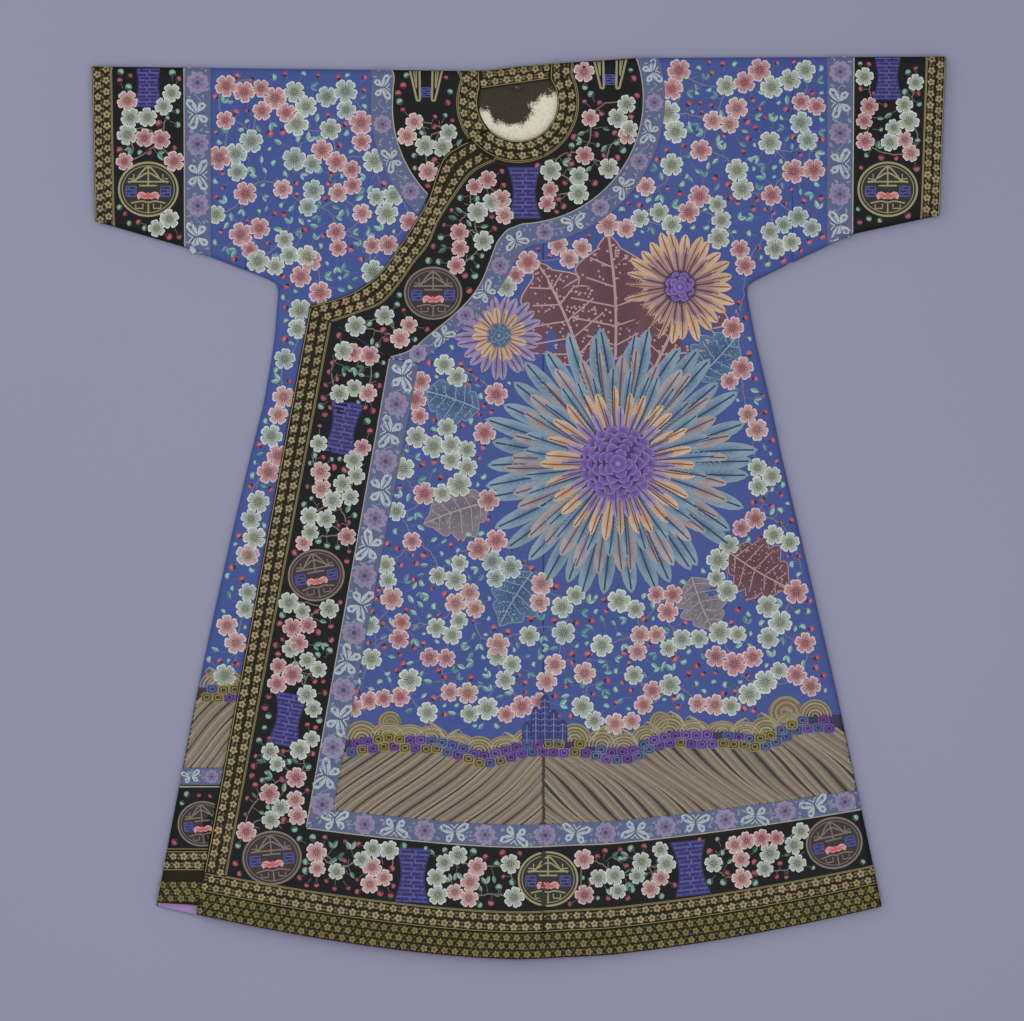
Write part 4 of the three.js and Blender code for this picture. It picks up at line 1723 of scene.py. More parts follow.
    def inner_bands(self) -> list[Band]:
        """Bands of the strip of the inner front that shows beside the free edge.

        Returns:
            The bands.
        """
        cut = self.cut
        found = []
        for weave, rows in zip(Weave, cut.inner_rows):
            near, far = (
                respaced([(float(cut.body_edge(Side.RIGHT, y)), y),
                          (float(cut.overlap_x(y)) - cut.seam, y)], 20)
                for y in rows
            )
            found.append(Band(f"inner_hem_{weave.word}", weave, near, far, self.inner, "front_inner"))
        return found

    def neck_bands(self) -> list[Band]:
        """Bands round the neck, and those of the yoke.

        Returns:
            The bands.
        """
        cut = self.cut
        neck_in = chain([self.on_shoulder(48.5)],
                        arc(cut.neck, cut.neck_size[0], 36, -135, 108, cut.neck_size[1]))
        neck_out = chain([self.on_shoulder(81)], arc(cut.neck, cut.neck_ring, 26, -142, 108))
        ring = cut.neck_ring + 1
        first = respaced([self.on_shoulder(82), arc(cut.neck, ring, 26, 25, 1)[0]], 6)[:-1]
        inside = chain(first, arc(cut.neck, ring, 26, -112, 96),
                       smooth_line(cut.brocade_line, 72) + (0.4, -0.4))
        first = respaced([self.on_shoulder(178), arc(cut.yoke, cut.yoke_border, 17, 16, 1)[0]], 6)[:-1]
        middle = chain(first, arc(cut.yoke, cut.yoke_border, 17, -88, 96), smooth_line(cut.border_line, 72))
        first = respaced([self.on_shoulder(213), arc(cut.yoke, cut.yoke_ribbon, 14, 13, 1)[0]], 6)[:-1]
        outside = chain(first, arc(cut.yoke, cut.yoke_ribbon, 14, -84, 96),
                        smooth_line(cut.ribbon_line, 72))
        free = smooth_line(cut.overlap[1:], 72) + (0, -0.5)
        free[0] = (-77.5, 554.5)
        brocade = smooth_line(cut.brocade_line, 72)
        outer, inner = self.outer, self.inner
        found = [
            Band("neck_band_left", Weave.BROCADE, respaced(neck_in, 120), respaced(neck_out, 120), outer,
                 "front_left", 4),
            Band("yoke_border_left", Weave.BORDER, inside, middle, outer, "front_left"),
            Band("yoke_ribbon_left", Weave.RIBBON, middle + (0.3, -0.3), outside, outer, "front_left"),
            Band("edge_brocade_curve", Weave.BROCADE, free, brocade, outer, "front_overlap"),
        ]
        ring_in = self.until_overlap(chain([self.on_shoulder(-60.5)], arc(cut.neck, 61.5, 160, 250, 60)))
        ring_out = self.until_overlap(chain([self.on_shoulder(-92)], arc(cut.neck, ring, 158, 250, 60)))
        yoke_in = self.until_overlap(chain([self.on_shoulder(-93.5)],
                                           arc(cut.neck, ring + 1, 158, 250, 60)))
        yoke_mid = self.right_yoke(cut.yoke_border, 170)
        yoke_out = self.right_yoke(cut.yoke_ribbon, 172)
        found += [
            Band("neck_band_right", Weave.BROCADE, ring_in, ring_out, inner, "front_inner", 4),
            Band("yoke_border_right", Weave.BORDER, yoke_in, yoke_mid, inner, "front_inner"),
            Band("yoke_ribbon_right", Weave.RIBBON, yoke_mid + (-0.5, -0.2), yoke_out, inner,
                 "front_inner"),
        ]
        return found

    def until_overlap(self, line: Array) -> Array:
        """The stretch of a line before it runs under the outer front, evenly spaced.

        Args:
            line: its points, from the neck outwards.

        Returns:
            Points of the stretch.
        """
        edge = smooth_line(self.cut.overlap, 60)[::-1]
        fine = respaced(line, 400)
        hidden = fine[:, 0] >= np.interp(fine[:, 1], edge[:, 1], edge[:, 0]) - 2
        hidden[:8] = False
        last = int(np.argmax(hidden)) if hidden.any() else len(fine)
        return respaced(fine[:last], 60)

    def right_yoke(self, radius: float, start: float) -> Array:
        """A round line of the yoke on the wearer's right, which opens out on its way down.

        Args:
            radius: of the round part.
            start: where it leaves the shoulder.

        Returns:
            Points of the line.
        """
        angle = np.radians(start + 2 * np.arange(40))
        eased = radius + self.cut.yoke_ease * np.maximum(0, -np.sin(angle))
        line = pairs(self.cut.yoke[0] + eased * np.cos(angle), self.cut.yoke[1] + eased * np.sin(angle))
        return self.until_overlap(chain([self.on_shoulder(line[0, 0] - 4)], line))

    def leaning(self, corner: tuple[float, float], lean: float, band: float) -> Array:
        """A side line from its corner down to a line that runs with the hem."""
        return respaced([(corner[0], corner[1] - 1.5), self.cut.side_foot(corner, lean, band)], 60)

    @cached_property
    def side_lines(self) -> dict[str, tuple[tuple[float, float], float, float]]:
        """Corner, lean and foot of each line down the side.

        Returns:
            The three values for each line by name.
        """
        cut = self.cut
        _, brocade, border, ribbon = cut.hem_bands
        lean = cut.side_lean
        return {
            "edge": (cut.overlap[-1], cut.edge_lean, brocade + cut.seam),
            "brocade": (cut.brocade_line[-1], lean[0], brocade + cut.seam),
            "border": (cut.border_line[-1], lean[1], border + cut.seam),
            "ribbon": (cut.ribbon_line[-1], lean[2], ribbon + cut.seam),
        }

    def side_bands(self) -> list[Band]:
        """Bands down the closing edge.

        Returns:
            The bands.
        """
        found = []
        for weave, near in zip(INNER_WEAVES, ("edge", "brocade", "border")):
            corner, lean, foot = self.side_lines[near]
            first = self.leaning((corner[0] + self.cut.seam, corner[1]), lean, foot)
            last = self.leaning(*self.side_lines[weave.word])
            found.append(Band(f"side_{weave.word}", weave, first, last, self.outer, "front_overlap"))
        return found

    def hem_bands(self) -> list[Band]:
        """Bands along the hem of the outer front.

        Returns:
            The bands.
        """
        cut = self.cut
        selvedge, brocade, border, _ = cut.hem_bands

        def edge_x(band: float) -> float:
            """Where a line of the hem starts at the free edge."""
            return cut.side_foot(cut.overlap[-1], cut.edge_lean, band)[0] + cut.seam

        def slant_x(kind: str) -> float:
            """Where a line of the hem starts at a side band."""
            return cut.side_foot(*self.side_lines[kind])[0] + cut.seam

        def line(band: float, start: float) -> Array:
            """A line with the hem, from its start to the side seam.

            Args:
                band: its distance from the hem.
                start: its first x.

            Returns:
                Its points.
            """
            x = np.linspace(start, cut.side_seam(lambda x: cut.hem_band(x, band)), 240)
            return pairs(x, cut.hem_band(x, band))

        lows = (0, selvedge + cut.seam, brocade + cut.seam, border + cut.seam)
        starts = (
            (edge_x(0), edge_x(selvedge)), (edge_x(selvedge), edge_x(brocade)),
            (slant_x("brocade"), slant_x("border")), (slant_x("border"), slant_x("ribbon")),
        )
        return [
            Band(f"hem_{weave.word}", weave, line(low, first), line(high, second), self.outer, "front_left")
            for weave, low, high, (first, second) in zip(Weave, lows, cut.hem_bands, starts)
        ]

    @cached_property
    def neck_back(self) -> Band:
        """The brocade that covers the back of the neck up to the shoulder fold.

        Returns:
            The band.
        """
        (ax, ay), (bx, by) = self.cut.neckline
        low = respaced([(ax - 3.6, ay - 0.05), (bx - 1.5, by + 0.6)], 26)
        high = pairs(low[:, 0], self.cut.shoulder_y(low[:, 0]))
        return Band("neck_band_back", Weave.BROCADE, low, high, self.inner, "back_left",
                    surface=self.neck_back_top)

    def neck_back_top(self, x: Array, y: Array) -> Array:
        """Height of the brocade at the back of the neck, which rolls over the fold and down to the fur.

        Args:
            x, y: the points.

        Returns:
            Heights in millimetres.
        """
        cut = self.cut
        fold = np.array(cut.shoulder, float)
        low = np.array(cut.neckline, float)
        roll = rounded(reach_to(fold, x, y), 9)
        near = rounded(reach_to(low, x, y), 3)
        return cut.lower + (cut.wall + cut.seam + cut.trim) * roll - 2.4 * (1 - near)

    def back_bands(self) -> list[Band]:
        """The bands as they go on round the back.

        Returns:
            The bands.
        """
        cut = self.cut
        found = []

        def hem_line(distance: float) -> Array:
            """A line with the hem of the back, from side seam to side seam.

            Args:
                distance: from the hem.

            Returns:
                Points of the line.
            """
            end = cut.side_seam(lambda x: cut.hem_y(x) + distance)
            x = np.linspace(end - 1, 1 - end, 240)
            return pairs(x, cut.hem_y(x) + distance * (1 - cut.band_taper * (x / cut.hem_half) ** 2))

        def add(name: str, weaves: Sequence[Weave], lines: Sequence[Array]) -> None:
            """Adds a row of bands, each between two lines.

            Args:
                name: what their names start with.
                weaves: their cloths.
                lines: their edges, one more than the cloths.
            """
            for weave, near, far in zip(weaves, lines[:-1], lines[1:]):
                found.append(Band(f"{name}_{weave.word}", weave, near, far, self.back, "back_left"))

        add("back_hem", tuple(Weave), [hem_line(at) for at in (cut.back_rim, *cut.hem_bands)])
        for side in Side:
            edges = (cut.back_rim, *cut.cuff_bands)
            add(f"back_cuff_{side.word}", INNER_WEAVES,
                [respaced(cut.sleeve_line(side, at), 60) for at in edges])
        angle = np.linspace(0, math.pi, 90)
        lines = []
        for wide, deep in cut.back_yoke:
            x = cut.yoke[0] + wide * np.cos(angle)
            lines.append(respaced(pairs(x, cut.shoulder_y(x) - 1 - deep * np.sin(angle)), 120))
        add("back_yoke", INNER_WEAVES, lines)
        return found

    def build_neck_back(self) -> None:
        """Makes that brocade's cloth."""
        band = self.neck_back
        up = shares(34, 3, 4)
        grid = band.near[None] + (band.far - band.near)[None] * up[:, None, None]
        x, y = grid[..., 0], grid[..., 1]
        top = band.top(x, y)
        low = np.minimum(self.cut.lower, top - LEAST_WALL)
        obj = shell("neck_band_back_cloth", grid, top, low, [GOLD_GROUND])
        sewn(obj, Slot.GOLD, "neck_band_back")
        declare_sheet(grid)


# ---- Open ground and scattered blossoms -----------------------------------------------------------
def closed(outline: Array) -> Array:
    """An outline with its first point repeated at its end."""
    return np.vstack([outline, outline[:1]])


@dataclass
class Ground:
    """A stretch of cloth that is open to needlework.

    Its outline may be hidden under bands, its rims are edges of the garment, and its holes hold other work.
    """

    outline: Array
    rims: Sequence[Array] = ()
    holes: Sequence[Array] = ()

    def open(self, spots: Array, reach: float, rim_reach: float) -> Array:
        """True for each spot that keeps its distance from the outline, the holes and the rims.

        Args:
            spots: the places to test.
            reach: distance from the outline and the holes.
            rim_reach: distance from the rims.

        Returns:
            One truth value for each spot.
        """
        left = np.flatnonzero(within(self.outline, *spots.T))
        for line, clear in ((closed(self.outline), reach), *((rim, rim_reach) for rim in self.rims)):
            left = left[reach_to(line, *spots[left].T) > clear]
        for hole in self.holes:
            x, y = spots[left].T
            left = left[~within(hole, x, y) & (reach_to(closed(hole), x, y) > reach)]
        fine = np.zeros(len(spots), bool)
        fine[left] = True
        return fine


def darts(rng: np.random.Generator, spots: Array, gap: float, taken: Array | None = None) -> Array:
    """The spots that keep a gap to each other and to discs that are taken.

    Args:
        rng: unused spots are tried in this order.
        spots: what to choose from.
        gap: least distance between two chosen spots.
        taken: rows of x, y and radius to stay out of.

    Returns:
        The chosen spots.
    """
    if taken is not None and len(taken):
        away = np.hypot(spots[:, None, 0] - taken[None, :, 0], spots[:, None, 1] - taken[None, :, 1])
        spots = spots[(away > taken[None, :, 2]).all(axis=1)]
    chosen = np.empty((len(spots), 2))
    count = 0
    for spot in spots[rng.permutation(len(spots))]:
        if count and np.min(np.sum((chosen[:count] - spot) ** 2, axis=1)) < gap * gap:
            continue
        chosen[count] = spot
        count += 1
    return chosen[:count]


@dataclass(frozen=True)
class Dyes:
    """The dyes of one ground's blossoms, buds, leaves and twigs."""

    blossoms: Sequence[Sequence[Colour]]
    buds: Sequence[Sequence[Colour]]
    leaves: Sequence[Sequence[Colour]]
    twig: Colour


ROSE = (srgb(144, 84, 86), srgb(178, 134, 137), srgb(200, 182, 184), srgb(104, 50, 58))
PINK = (srgb(150, 100, 96), srgb(184, 149, 147), srgb(202, 189, 188), srgb(116, 64, 66))
CELADON = (srgb(120, 124, 102), srgb(160, 170, 161), srgb(194, 199, 195), srgb(92, 95, 76))
SEA = (srgb(112, 120, 104), srgb(150, 165, 162), srgb(187, 197, 196), srgb(86, 92, 80))
ON_BLUE = Dyes(
    (ROSE, CELADON, PINK, SEA, ROSE, CELADON),
    ((srgb(192, 118, 126), srgb(150, 66, 84), srgb(58, 40, 66)),
     (srgb(160, 190, 184), srgb(108, 146, 150), srgb(58, 80, 106)),
     (srgb(182, 98, 106), srgb(138, 56, 72), srgb(44, 34, 60))),
    ((srgb(132, 170, 164), srgb(92, 130, 138)), (srgb(106, 144, 146), srgb(74, 110, 128)),
     (srgb(154, 184, 174), srgb(112, 146, 144))),
    srgb(112, 110, 132),
)
ON_BLACK = Dyes(
    (PINK, CELADON, ROSE, CELADON),
    ((srgb(178, 104, 112), srgb(132, 60, 72), srgb(60, 26, 32)),
     (srgb(152, 180, 166), srgb(96, 130, 116), srgb(46, 66, 56)),
     (srgb(164, 86, 98), srgb(118, 50, 62), srgb(52, 24, 30))),
    ((srgb(120, 154, 138), srgb(74, 110, 96)), (srgb(80, 114, 98), srgb(48, 76, 64)),
     (srgb(142, 168, 150), srgb(98, 130, 114))),
    srgb(116, 108, 100),
)


@dataclass
class BlossomField:
    """Blossoms in clusters on winding twigs, with buds and leaves between them."""

    name: str
    ground: Ground
    surface: Surface
    dyes: Dyes
    seed: int
    slot: Slot = Slot.BLUE
    downward: bool = False
    gap: float = 47.0
    radius: tuple[float, float] = (14.4, 19.2)
    edge: float = 5.0
    rim: float = 19.0
    filler_gap: float = 13.4
    twig_reach: float = 120.0
    most: int = 4
    shares: tuple[float, float, float, float] = (0.3, 0.42, 0.2, 0.08)
    tries: int = 10
    closest: float = 0.8
    single_gap: float = 0.72
    clear: float = 0.62
    contrast: float = 0.75
    bud_clear: float = 4.2
    bud_open: tuple[float, float] = (6.5, 8.0)
    leaf_open: tuple[float, float] = (11.0, 18.5)
    stalk: tuple[float, float, float] = (5, 13, 34)
    leaf_share: float = 0.5
    pair_share: float = 0.24
    drawings: int = 5

    def candidates(self, work: "Needlework", per_mm: float, reach: float, rim: float) -> Array:
        """Random spots on the open ground.

        Args:
            work: the needlework, whose random numbers are drawn.
            per_mm: spots for each square millimetre.
            reach: distance from the outline and the holes.
            rim: distance from the rims.

        Returns:
            The spots.
        """
        low, high = self.ground.outline.min(axis=0), self.ground.outline.max(axis=0)
        count = int(per_mm * float(np.prod(high - low)))
        spots = work.rng.uniform(low, high, (count, 2))
        return spots[self.ground.open(spots, reach, rim)]

    def clusters(self, work: "Needlework") -> tuple[Array, list[tuple[float, float, float, int]]]:
        """Chooses the place, size and dye of each blossom.

        Args:
            work: the needlework that they go into.

        Returns:
            The middle of each cluster, and each blossom's x, y, radius and dye.
        """
        rng = work.rng
        anchors = darts(rng, self.candidates(work, 0.004, self.edge, self.rim), self.gap)
        blossoms: list[tuple[float, float, float, int]] = []
        for anchor in anchors:
            dye = self.next_dye(rng, anchor, blossoms)
            want = int(rng.choice([1, 2, 3, 4], p=self.shares))
            size = rng.uniform(*self.radius)
            own = [(float(anchor[0]), float(anchor[1]), size, dye)]
            turn = rng.uniform(0, 2 * math.pi)
            for _ in range(self.tries):
                if len(own) >= min(want, self.most):
                    break
                base = own[int(rng.integers(len(own)))]
                size = rng.uniform(*self.radius) * 0.94
                turn += rng.uniform(0.8, 2.0)
                far = (base[2] + size) * 0.84
                spot = np.array([[base[0] + far * math.cos(turn), base[1] + far * math.sin(turn)]])
                apart = [math.hypot(spot[0, 0] - b[0], spot[0, 1] - b[1]) > self.closest * (b[2] + size)
                         for b in own + blossoms]
                if all(apart) and self.ground.open(spot, self.edge, self.rim)[0]:
                    own.append((float(spot[0, 0]), float(spot[0, 1]), size, dye))
            blossoms += own
        taken = np.array([(x, y, size + self.clear * self.gap) for x, y, size, _ in blossoms]).reshape(-1, 3)
        spots = self.candidates(work, 0.02, self.edge, self.rim)
        singles = darts(rng, spots, self.single_gap * self.gap, taken)
        for spot in singles:
            dye = self.next_dye(rng, spot, blossoms)
            blossoms.append((float(spot[0]), float(spot[1]), rng.uniform(*self.radius), dye))
        return np.vstack([anchors, singles]), blossoms

    def next_dye(self, rng: np.random.Generator, spot: Array,
                 blossoms: list[tuple[float, float, float, int]]) -> int:
        """A dye that most often differs in kind from the nearest blossom's, warm beside cool.

        Args:
            rng: random numbers.
            spot: the new blossom's place.
            blossoms: those already placed.

        Returns:
            Number of the dye.
        """
        dye = int(rng.integers(len(self.dyes.blossoms)))
        if blossoms and rng.random() < self.contrast:
            near = min(blossoms, key=lambda one: math.hypot(one[0] - spot[0], one[1] - spot[1]))
            dye += (dye % 2 == near[3] % 2)
        return dye % len(self.dyes.blossoms)

    def twigs(self, work: "Needlework", anchors: Array) -> Array:
        """Sews the twigs from cluster to cluster.

        Args:
            work: the needlework that they go into.
            anchors: middles of the clusters.

        Returns:
            Points along the twigs.
        """
        rng = work.rng
        joined: set[tuple[int, int]] = set()
        paths = []
        for i, here in enumerate(anchors):
            away = np.hypot(*(anchors - here).T)
            for j in np.argsort(away)[1:3]:
                pair = (min(i, int(j)), max(i, int(j)))
                if pair in joined or away[j] > self.twig_reach:
                    continue
                joined.add(pair)
                there = anchors[j]
                bow = np.array([here[1] - there[1], there[0] - here[0]]) * rng.uniform(-0.28, 0.28)
                t = np.linspace(0, 1, 12)[:, None]
                path = here + (there - here) * t + bow * 4 * t * (1 - t) + rng.normal(0, 0.7, (12, 2))
                if not self.ground.open(path, 1.5, 4).all():
                    continue
                work.sew(stroke(path, np.linspace(2.1, 1.5, 12), 0, 0.08, ridge=0.25), [self.dyes.twig])
                paths.append(path)
                for at in (3, 8):
                    along = math.atan2(*(path[at + 1] - path[at])[::-1])
                    aim = along + rng.choice([-1, 1]) * rng.uniform(0.6, 1.1)
                    tip = path[at] + rng.uniform(9, 15) * np.array([math.cos(aim), math.sin(aim)])
                    if self.ground.open(tip[None], 3, 7)[0]:
                        middle = (path[at] + tip) / 2 + rng.normal(0, 0.6, 2)
                        shoot = stroke([path[at], middle, tip], 1.0, 0, 0.06, ridge=0.2)
                        work.sew(shoot, [self.dyes.twig])
        return np.concatenate(paths) if paths else np.zeros((0, 2))

    def build(self) -> bpy.types.Object:
        """Sews the whole field.

        Returns:
            The finished piece.
        """
        work = Needlework(self.name, self.surface, FLOSS, self.seed, self.slot, self.downward)
        rng = work.rng
        anchors, blossoms = self.clusters(work)
        line = self.twigs(work, anchors)
        taken = np.array([(x, y, r + self.bud_clear) for x, y, r, _ in blossoms]).reshape(-1, 3)
        fillers = darts(rng, self.candidates(work, 0.035, *self.bud_open), self.filler_gap, taken)
        roomy = self.ground.open(fillers, *self.leaf_open)
        nearest, stalk, farthest = self.stalk
        leaf, bud = Drawings.leaf(), Drawings.bud()
        knots = np.vstack([line, taken[:, :2], [(1e6, 1e6)]])
        for spot, room in zip(fillers, roomy):
            toward = knots[np.argmin(np.hypot(*(knots - spot).T))] - spot
            far = float(np.hypot(*toward))
            aim = math.atan2(-toward[1], -toward[0]) + rng.normal(0, 0.5)
            if nearest < far < farthest:
                root = spot + toward * min(1, stalk / far)
                work.sew(stroke([root, spot], 0.8, 0, 0.05, ridge=0.2), [self.dyes.twig])
            kind = rng.random()
            if kind < self.leaf_share and room:
                dye = self.dyes.leaves[int(rng.integers(len(self.dyes.leaves)))]
                for sway in ((-0.5, 0.5) if kind < self.pair_share else (0.0,)):
                    work.sew(leaf, dye, *spot, aim - math.pi / 2 + sway, rng.uniform(11, 16),
                             0.05 * abs(sway))
            else:
                dye = self.dyes.buds[int(rng.integers(len(self.dyes.buds)))]
                work.sew(bud, dye, *spot, aim - math.pi / 2, rng.uniform(3.4, 5.4))
        drawings = [Drawings.blossom(turn) for turn in np.linspace(0, 1.1, self.drawings)]
        for k, (x, y, size, dye) in enumerate(blossoms):
            work.sew(drawings[k % self.drawings], self.dyes.blossoms[dye], x, y, rng.uniform(0, 6.3), size,
                     0.1 + 0.12 * (k % 4))
        LOG.info("%s: %d blossoms, %d buds and leaves", self.name, len(blossoms), len(fillers))
        return work.build()


# ---- Brocade, ribbon and piping -------------------------------------------------------------------
GILT_HEAD = (srgb(158, 146, 116), srgb(113, 100, 68), srgb(82, 69, 40), srgb(108, 96, 60))
OLIVE_HEAD = (srgb(124, 117, 70), srgb(86, 79, 38), srgb(92, 86, 50), srgb(76, 70, 34))
GILT_LINE = (srgb(150, 138, 96),)
CREAM_LINE = (srgb(176, 170, 150),)


@dataclass
class BrocadeRows:
    """Rows of small flower heads woven in gilt thread along a band."""

    band: Band
    rows: Sequence[float]
    palette: Sequence[Colour]
    pitch: float = 17.5
    size: float = 6.4
    lines: Sequence[float] = (0.045, 0.955)
    seed: int = 3

    def build(self) -> bpy.types.Object:
        """Sews the heads, the sprigs between them and the lines along the edges.

        Returns:
            The finished piece.
        """
        band = self.band
        work = Needlework(band.name + "_heads", band.top, GILT, self.seed, band.slot, band.layer.downward)
        head, sprig = Drawings.head(), Drawings.sprig()
        count = max(2, round(band.length / self.pitch))
        step = band.length / count
        for row, share in enumerate(self.rows):
            for k in range(count):
                x, y, angle, width = band.spot((k + 0.25 + 0.5 * (row % 2)) * step, share)
                size = self.size * min(1.0, width / 26) * work.rng.uniform(0.92, 1.06)
                work.sew(head, self.palette, x, y, angle + work.rng.uniform(-0.5, 0.5), size, vary=0.14)
                for drift, spin in ((-0.13, 0), (0.13, math.pi)):
                    x, y, angle, _ = band.spot((k + 0.75 + 0.5 * (row % 2)) % count * step, share + drift)
                    work.sew(sprig, self.palette[3:], x, y, angle + spin + work.rng.uniform(-0.4, 0.4),
                             size * 0.62, -0.05, vary=0.2)
        for share in self.lines:
            work.sew(stroke(band.line(share, (1, 1)), 1.1, 0, 0.1, ridge=0.35), GILT_LINE)
        return work.build()


@dataclass
class RibbonFigures:
    """Butterflies and round flowers woven in turn along a ribbon."""

    band: Band
    repeat: float = 92.0
    seed: int = 5
    pale: Sequence[Colour] = (srgb(172, 184, 188), srgb(138, 152, 166), srgb(84, 90, 118),
                              srgb(192, 198, 194))
    lilac: Sequence[Colour] = (srgb(124, 112, 144), srgb(98, 88, 122), srgb(72, 68, 98),
                               srgb(142, 132, 160))
    stem: Sequence[Colour] = (srgb(134, 144, 166), srgb(108, 120, 148))

    @staticmethod
    def butterfly() -> Motif:
        """A butterfly of half-width 1 with its wings open along X.

        Returns:
            The drawing.
        """
        upper = np.array([[0.06, 0.02], [0.5, 0.0], [0.92, 0.22], [1.0, 0.52], [0.72, 0.66], [0.34, 0.46],
                          [0.06, 0.16]])
        lower = np.array([[0.06, -0.02], [0.22, -0.46], [0.46, -0.62], [0.66, -0.46], [0.6, -0.16],
                          [0.3, -0.02]])
        wing = [fan(upper, (0.5, 0.3), (1, 0), (0.5, 0.15), True),
                fan(lower, (0.4, -0.3), (1, 0), (0.45, 0.12), True)]
        wing.append(disc(0.11, 6, (2, 2), (0.62, 0.55), (0.66, 0.36)))
        wing.append(disc(0.08, 6, (2, 2), (0.6, 0.5), (0.42, -0.34)))
        wing.append(stroke([(0.1, 0.1), (0.4, 0.26), (0.8, 0.5)], 0.06, 2, 0.5, ridge=0.1))
        whole = Motif.joined(wing)
        body = stroke([(0, -0.4), (0, -0.1), (0, 0.3)], np.array([0.05, 0.14, 0.1]), 2, 0.5, ridge=0.3)
        feelers = [stroke([(0, 0.3), (side * 0.12, 0.5), (side * 0.26, 0.6)], 0.05, 3, 0.4, ridge=0.1)
                   for side in (-1, 1)]
        return Motif.joined([whole, whole.placed(mirror=True), body, *feelers])

    @staticmethod
    def roundel() -> Motif:
        """A round many-petalled flower of radius 1.

        Returns:
            The drawing.
        """
        parts = []
        for count, far, size, lift, tint in ((9, 0.72, 0.3, 0.0, 0), (6, 0.4, 0.26, 0.12, 1)):
            for k in range(count):
                angle = 2 * math.pi * k / count
                centre = (far * math.cos(angle), far * math.sin(angle))
                parts.append(disc(size, 6, (tint, 3 - 3 * tint), (0.45 + lift, 0.15 + lift), centre))
        parts.append(disc(0.2, 6, (2, 2), (0.7, 0.6)))
        return Motif.joined(parts)

    def build(self) -> bpy.types.Object:
        """Sews the figures and the small leaves between them.

        Returns:
            The finished piece.
        """
        band = self.band
        work = Needlework(band.name + "_figures", band.top, FLOSS, self.seed, band.slot,
                          band.layer.downward)
        moth, flower, leaf = self.butterfly(), self.roundel(), Drawings.leaf()
        count = max(1, round(band.length / self.repeat))
        step = band.length / count
        wide = float(np.linalg.norm(band.far - band.near, axis=1).mean())
        size = wide * 0.5
        for k in range(count):
            for part, (at, figure, dyes, scale) in enumerate((
                (0.25, moth, self.pale, 1.16), (0.75, flower, self.lilac, 0.84),
            )):
                x, y, angle, _ = band.spot((k + at) * step, 0.5)
                lean = work.rng.uniform(-0.25, 0.25) + (math.pi if (k + part) % 2 else 0)
                work.sew(figure, dyes, x, y, angle + lean, size * scale)
            for at in (0.0, 0.08, 0.47, 0.53, 0.6, 0.9, 0.96):
                for share in (0.24, 0.76):
                    x, y, angle, _ = band.spot(min((k + at) * step + 2, band.length),
                                               share + work.rng.uniform(-0.06, 0.06))
                    work.sew(leaf, self.stem, x, y, angle + work.rng.uniform(0, 6.3),
                             size * work.rng.uniform(0.3, 0.52), -0.05)
            path = band.line(0.5, (k * step + 0.42 * step, band.length - (k + 0.6) * step))
            sway = np.sin(np.linspace(0, 6.3, len(path)))[:, None] * (band.far - band.near)[0] * 0.12
            work.sew(stroke(path + sway, 1.0, 0, 0.05, ridge=0.2), self.stem)
        return work.build()


@dataclass
class Piping:
    """Thin cords along the joints between bands."""

    robe: "Robe"
    bands: dict[str, Band]

    def build(self) -> None:
        """Lays a cream cord outside each black border and a gilt one inside it."""
        for layer_name, layer in (("outer", self.robe.outer), ("inner", self.robe.inner)):
            cords = Needlework(f"piping_{layer_name}", lambda x, y, layer=layer: layer.top(x, y) + 1.15,
                               CORD, 9)
            gilt = Needlework(f"gilt_cord_{layer_name}", lambda x, y, layer=layer: layer.top(x, y) + 1.15,
                              GILT, 9)
            for band in self.bands.values():
                if band.layer is not layer or band.slot is not Slot.BLACK:
                    continue
                fold_end = 0.5 if "hem" in band.name else 1.5
                cords.sew(stroke(band.line(1.0, (0.5, fold_end)), 2.3, 0, 0.0, ridge=1.0), CREAM_LINE)
                gilt.sew(stroke(band.line(0.0, (0.5, fold_end)), 1.9, 0, 0.0, ridge=0.9), GILT_LINE)
            for work in (cords, gilt):
                work.build()


# ---- Fret ornament on the black bands --------------------------------------------------------------
class Fret(Enum):
    """Fret ornaments, each with half the width and height of the room that it takes."""

    MEDALLION = (46, 42)
    RIBBED = (24, 43)
    GATE = (29, 34)


@dataclass(frozen=True)
class FretSpot:
    """Place of one ornament on a black border."""

    x: float
    y: float
    turn: float = 0.0
    scale: float = 1.0
    gilt: bool = False
    whole: bool = False

    def outline(self, rx: float, ry: float) -> Array:
        """The room that it takes."""
        return ellipse(rx * self.scale, ry * self.scale, 24) @ spun(self.turn) + (self.x, self.y)


